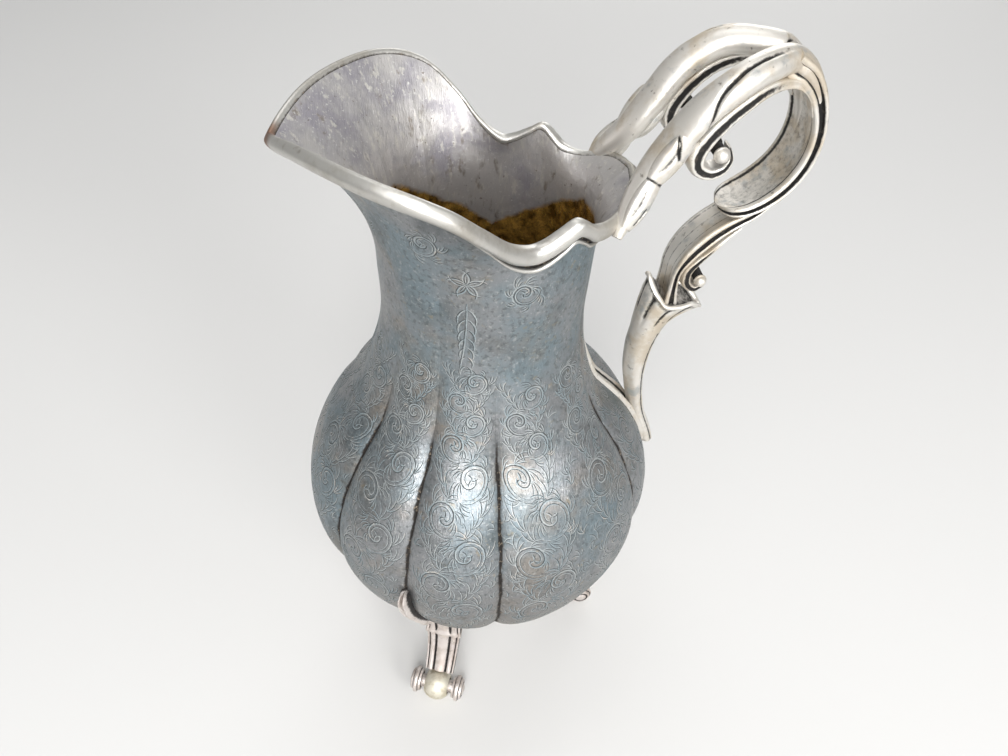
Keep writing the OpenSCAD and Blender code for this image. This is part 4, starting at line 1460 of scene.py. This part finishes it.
    def neck(self, hand: int) -> "Engraving":
        """Engraves a flower on the neck, scrolls above and beside it, and leaves that trail below.

        Args:
            hand: side of the scroll above the flower, 1 or -1, or 0 for one on each side.

        Returns:
            This engraving.
        """
        self.flower(0.0, self.flower_z, self.petal)
        for side in ([hand] if hand else [1, -1]):
            self.scroll((side * self.upper_eye[0], self.upper_eye[1]), self.upper_r, 90 - side * 130, -side)
        if hand:
            self.scroll((-hand * self.side_eye[0], self.side_eye[1]), self.side_r, 90 + hand * 90, hand)
        self.comma((0.0, self.trail_z), -90, self.trail, hand * 10, self.width, 16)
        for k in range(7):
            for way in (1, -1):
                self.comma((way * 0.2, 141 - 2.4 * k), -90 + way * 55, 4.4 - 0.3 * k, -way * 80, self.width)
        return self

    @staticmethod
    def tree() -> bpy.types.NodeTree:
        """Builds the nodes that sweep the graver's trough along every stroke.

        Returns:
            A tree with inputs Depth and Finish.
        """
        group = bpy.data.node_groups.new("Graver strokes", "GeometryNodeTree")
        group.interface.new_socket("Strokes", in_out="INPUT", socket_type="NodeSocketGeometry")
        group.interface.new_socket("Depth", in_out="INPUT", socket_type="NodeSocketFloat")
        group.interface.new_socket("Finish", in_out="INPUT", socket_type="NodeSocketMaterial")
        group.interface.new_socket("Cuts", in_out="OUTPUT", socket_type="NodeSocketGeometry")
        start = add(group, "NodeGroupInput").outputs
        facing = add(group, "GeometryNodeInputNamedAttribute", {"Name": "facing"},
                     data_type="FLOAT_VECTOR").outputs[0]
        half = add(group, "GeometryNodeInputNamedAttribute", {"Name": "half"}, data_type="FLOAT").outputs[0]
        lines = add(group, "GeometryNodeMeshToCurve", {"Mesh": start["Strokes"]}).outputs[0]
        posed = add(group, "GeometryNodeSetCurveNormal", {"Curve": lines, "Normal": facing},
                    mode="FREE").outputs[0]
        bar = add(group, "GeometryNodeCurvePrimitiveLine", {"Start": (0, -1, 0),
                                                            "End": (0, 1, 0)}).outputs[0]
        five = add(group, "GeometryNodeResampleCurve", {"Curve": bar, "Count": 5}).outputs[0]
        order = add(group, "GeometryNodeInputIndex").outputs[0]
        odd = add(group, "ShaderNodeMath", {0: order, 1: 2.0}, operation="MODULO").outputs[0]
        level = add(group, "ShaderNodeMapRange", {0: odd, 3: -0.05, 4: 1.0}).outputs[0]
        high = add(group, "ShaderNodeMath", {0: level, 1: start["Depth"]}, operation="MULTIPLY").outputs[0]
        lift = add(group, "ShaderNodeCombineXYZ", {"X": high}).outputs[0]
        trough = add(group, "GeometryNodeSetPosition", {"Geometry": five, "Offset": lift}).outputs[0]
        # Recess rises across the trough from one wall to the other: painted shade on one wall, the other
        # left bright
        shade = add(group, "ShaderNodeMapRange", {0: order, 1: 0.0, 2: 4.0, 3: 0.0, 4: 0.95}).outputs[0]
        stored = {"Geometry": trough, "Name": "recess", "Value": shade}
        shaded = add(group, "GeometryNodeStoreNamedAttribute", stored, data_type="FLOAT",
                     domain="POINT").outputs[0]
        swept = add(group, "GeometryNodeCurveToMesh", {"Curve": posed, "Profile Curve": shaded,
                                                       "Scale": half}).outputs[0]
        whole = add(group, "GeometryNodeRealizeInstances", {"Geometry": swept}).outputs[0]
        done = add(group, "GeometryNodeSetMaterial", {"Geometry": whole,
                                                      "Material": start["Finish"]}).outputs[0]
        add(group, "NodeGroupOutput", {"Cuts": done})
        return group

    def build(self, silver: bpy.types.Material, nodes: bpy.types.NodeTree) -> bpy.types.Object:
        """Cuts the strokes.

        Args:
            silver: finish of the cut.
            nodes: tree that sweeps the graver's trough.

        Returns:
            The piece with every stroke of this panel.
        """
        points, facing, half, edges, count = [], [], [], [], 0
        for stroke in self.strokes:
            points.append(self.vessel.point(stroke.turn, stroke.z))
            facing.append(self.vessel.normal(stroke.turn, stroke.z))
            half.append(stroke.half)
            edges += [(count + i, count + i + 1) for i in range(len(stroke.z) - 1)]
            count += len(stroke.z)
        mesh = bpy.data.meshes.new("Strokes")
        mesh.from_pydata((np.vstack(points) * MM).tolist(), edges, [])
        ways = mesh.attributes.new("facing", "FLOAT_VECTOR", "POINT")
        ways.data.foreach_set("vector", np.vstack(facing).ravel())
        halves = mesh.attributes.new("half", "FLOAT", "POINT")
        halves.data.foreach_set("value", np.concatenate(half) * MM)
        inputs = {"Depth": self.depth / self.width * 2, "Finish": silver}
        return dress(grown(f"Engraving_{self.name}", mesh, nodes, inputs), Slot.BODY)


def grown(name: str, mesh: bpy.types.Mesh, tree: bpy.types.NodeTree, inputs: dict) -> bpy.types.Object:
    """Runs a geometry tree on a mesh and keeps the result as a plain mesh.

    Args:
        name: name of the piece.
        mesh: mesh that the tree starts from.
        tree: geometry tree.
        inputs: values by the name of the tree's input.

    Returns:
        The new object, with no modifier.
    """
    seed = bpy.data.objects.new(name + "_seed", mesh)
    bpy.context.scene.collection.objects.link(seed)
    modifier = seed.modifiers.new("Grow", "NODES")
    modifier.node_group = tree
    named = {s.name: s.identifier for s in tree.interface.items_tree if s.in_out == "INPUT"}
    for key, value in inputs.items():
        modifier[named[key]] = value
    view = bpy.context.evaluated_depsgraph_get()
    result = bpy.data.meshes.new_from_object(seed.evaluated_get(view))
    bpy.data.objects.remove(seed)
    result.name = name
    result.polygons.foreach_set("use_smooth", [True] * len(result.polygons))
    obj = bpy.data.objects.new(name, result)
    bpy.context.scene.collection.objects.link(obj)
    return obj


def engrave(vessel: Vessel) -> None:
    """Engraves every lobe and the neck.

    Args:
        vessel: body that carries the engraving.
    """
    silver, nodes = CUT_SILVER.material(), Engraving.tree()
    lobes = {"spout": (180, 60), "side_right": (60, 60), "side_left": (-60, 60), "rear_right": (15, 30),
             "rear_left": (-15, 30), "knee_rear_right": (105, 30), "knee_rear_left": (-105, 30),
             "knee_front_right": (135, 30), "knee_front_left": (-135, 30)}
    for seed, (name, (centre, span)) in enumerate(lobes.items()):
        Engraving(vessel, name, centre, seed).lobe(span).build(silver, nodes)
    necks = {"neck_left": (-106, -1), "neck_right": (106, 1), "neck_spout": (180, 0)}
    for seed, (name, (centre, hand)) in enumerate(necks.items(), len(lobes)):
        Engraving(vessel, name, centre, seed).neck(hand).build(silver, nodes)


@dataclass(frozen=True)
class Lamp:
    """Soft square lamp: place and side in metres, power in watts."""

    name: str
    place: tuple[float, float, float]
    size: float
    power: float

    def hang(self, aim: tuple[float, float, float]) -> None:
        """Hangs the lamp so that it faces a point.

        Args:
            aim: the point, in metres.
        """
        data = bpy.data.lights.new(self.name, "AREA")
        data.size = self.size
        data.energy = self.power
        obj = bpy.data.objects.new(self.name, data)
        back = unit(np.array(self.place) - np.array(aim))
        level = unit(np.cross([0.0, 0.0, 1.0], back))
        turn = Matrix(np.stack([level, np.cross(back, level), back], 1)).to_4x4()
        obj.matrix_world = Matrix.Translation(self.place) @ turn
        bpy.context.scene.collection.objects.link(obj)


@dataclass
class Studio:
    """Camera at the photograph's place, pale floor and soft light."""

    place: tuple[float, float, float] = (-17.31, -126.69, 229.28)
    azimuth: float = -100.143
    elevation: float = 44.84
    roll: float = 3.456
    focal_px: float = 754.14
    image_w: int = 1008
    sensor_mm: float = 36.0
    nearest_m: float = 0.005
    floor_half_m: float = 3.0
    floor_tone: str = "#d2d1cf"
    floor_roughness: float = 0.9
    # The room goes from the low tone at level to the high tone at this height of a unit view direction
    low_tone: str = "#5c5c60"
    high_tone: str = "#c9cbcd"
    high_from: float = 0.9
    backdrop: str = "#e4e4e2"
    sky_strength: float = 0.55
    aim: tuple[float, float, float] = (0.0, 0.0, 0.1)
    lamps: tuple[Lamp, ...] = (
        Lamp("Key", (-0.71, -0.85, 1.12), 0.68, 2.0),
        Lamp("Fill", (1.19, -0.51, 0.87), 0.85, 2.0),
        Lamp("Top", (-0.17, 0.43, 1.55), 0.85, 4.6),
        Lamp("Back", (0.43, 1.02, 0.61), 0.68, 4.0),
        Lamp("Front", (-0.17, -0.88, 0.41), 0.34, 6.0),
        Lamp("Front upper", (-0.09, -0.61, 0.88), 0.34, 5.5),
        Lamp("Front right", (0.44, -0.77, 0.44), 0.34, 3.9))

    def camera(self) -> None:
        """Sets the camera from the fitted place and angles."""
        a, e, r = (math.radians(v) for v in (self.azimuth, self.elevation, self.roll))
        back = np.array([math.cos(a) * math.cos(e), math.sin(a) * math.cos(e), math.sin(e)])
        level = np.array([-math.sin(a), math.cos(a), 0.0])
        up = np.cross(level, -back)
        across = level * math.cos(r) + up * math.sin(r)
        above = -level * math.sin(r) + up * math.cos(r)
        data = bpy.data.cameras.new("Camera")
        data.sensor_width = self.sensor_mm
        data.lens = self.focal_px / self.image_w * data.sensor_width
        data.clip_start = self.nearest_m
        obj = bpy.data.objects.new("Camera", data)
        obj.matrix_world = Matrix.Translation(np.array(self.place) * MM) @ Matrix(
            np.stack([across, above, back], 1)).to_4x4()
        bpy.context.scene.collection.objects.link(obj)
        bpy.context.scene.camera = obj

    def floor(self) -> None:
        """Lays a pale matt floor."""
        mesh = bpy.data.meshes.new("Floor")
        s = self.floor_half_m
        mesh.from_pydata([(-s, -s, 0), (s, -s, 0), (s, s, 0), (-s, s, 0)], [], [(0, 1, 2, 3)])
        made = bpy.data.materials.new("Pale paper")
        made.use_nodes = True
        shader = made.node_tree.nodes["Principled BSDF"]
        shader.inputs["Base Color"].default_value = linear(self.floor_tone)
        shader.inputs["Roughness"].default_value = self.floor_roughness
        mesh.materials.append(made)
        obj = bpy.data.objects.new("Floor", mesh)
        bpy.context.scene.collection.objects.link(obj)

    def light(self) -> None:
        """Lights the jug from all sides, in a room that is brighter overhead.

        The camera, gloss and glass all see the same pale backdrop.
        """
        world = bpy.data.worlds.new("Room")
        world.use_nodes = True
        bpy.context.scene.world = world
        tree = world.node_tree
        tree.nodes.clear()
        way = add(tree, "ShaderNodeTexCoord").outputs["Generated"]
        height = add(tree, "ShaderNodeSeparateXYZ", {0: way}).outputs["Z"]
        share = add(tree, "ShaderNodeMapRange", {0: height, 1: 0.0, 2: self.high_from},
                    interpolation_type="SMOOTHSTEP").outputs[0]
        room = add(tree, "ShaderNodeMix", {0: share, 6: linear(self.low_tone), 7: linear(self.high_tone)},
                   data_type="RGBA").outputs[2]
        ray = add(tree, "ShaderNodeLightPath").outputs
        direct = add(tree, "ShaderNodeMath", {0: ray["Is Camera Ray"], 1: ray["Is Glossy Ray"]},
                     operation="MAXIMUM").outputs[0]
        seen = add(tree, "ShaderNodeMath", {0: direct, 1: ray["Is Transmission Ray"]},
                   operation="MAXIMUM").outputs[0]
        tone = add(tree, "ShaderNodeMix", {0: seen, 6: room, 7: linear(self.backdrop)},
                   data_type="RGBA").outputs[2]
        sky = add(tree, "ShaderNodeBackground", {"Color": tone, "Strength": self.sky_strength})
        add(tree, "ShaderNodeOutputWorld", {"Surface": sky.outputs[0]})
        for lamp in self.lamps:
            lamp.hang(self.aim)

    def build(self) -> None:
        """Sets the camera, the floor, the light and the plain view."""
        self.camera()
        self.floor()
        self.light()
        bpy.context.scene.view_settings.view_transform = "Standard"


# Each foot: name, turn of its toe, turn that it faces, and turn of its knee leaf
FEET = (("rear", 0, 0, 0), ("right", 118, 110, 120), ("left", -118, -110, -120))


def main() -> None:
    """Builds the jug piece by piece."""
    logging.basicConfig(level=logging.INFO, format="%(name)s %(message)s")
    Studio().build()
    vessel = Vessel()
    vessel.build()
    Rim(vessel).build()
    engrave(vessel)
    Handle(vessel).build()
    silver, worn = FOOT_SILVER.material(), BALL_SILVER.material()
    for name, turn, face, knee in FEET:
        Foot(vessel, name, turn, face, knee).build(silver, worn)


if __name__ == "__main__":
    main()
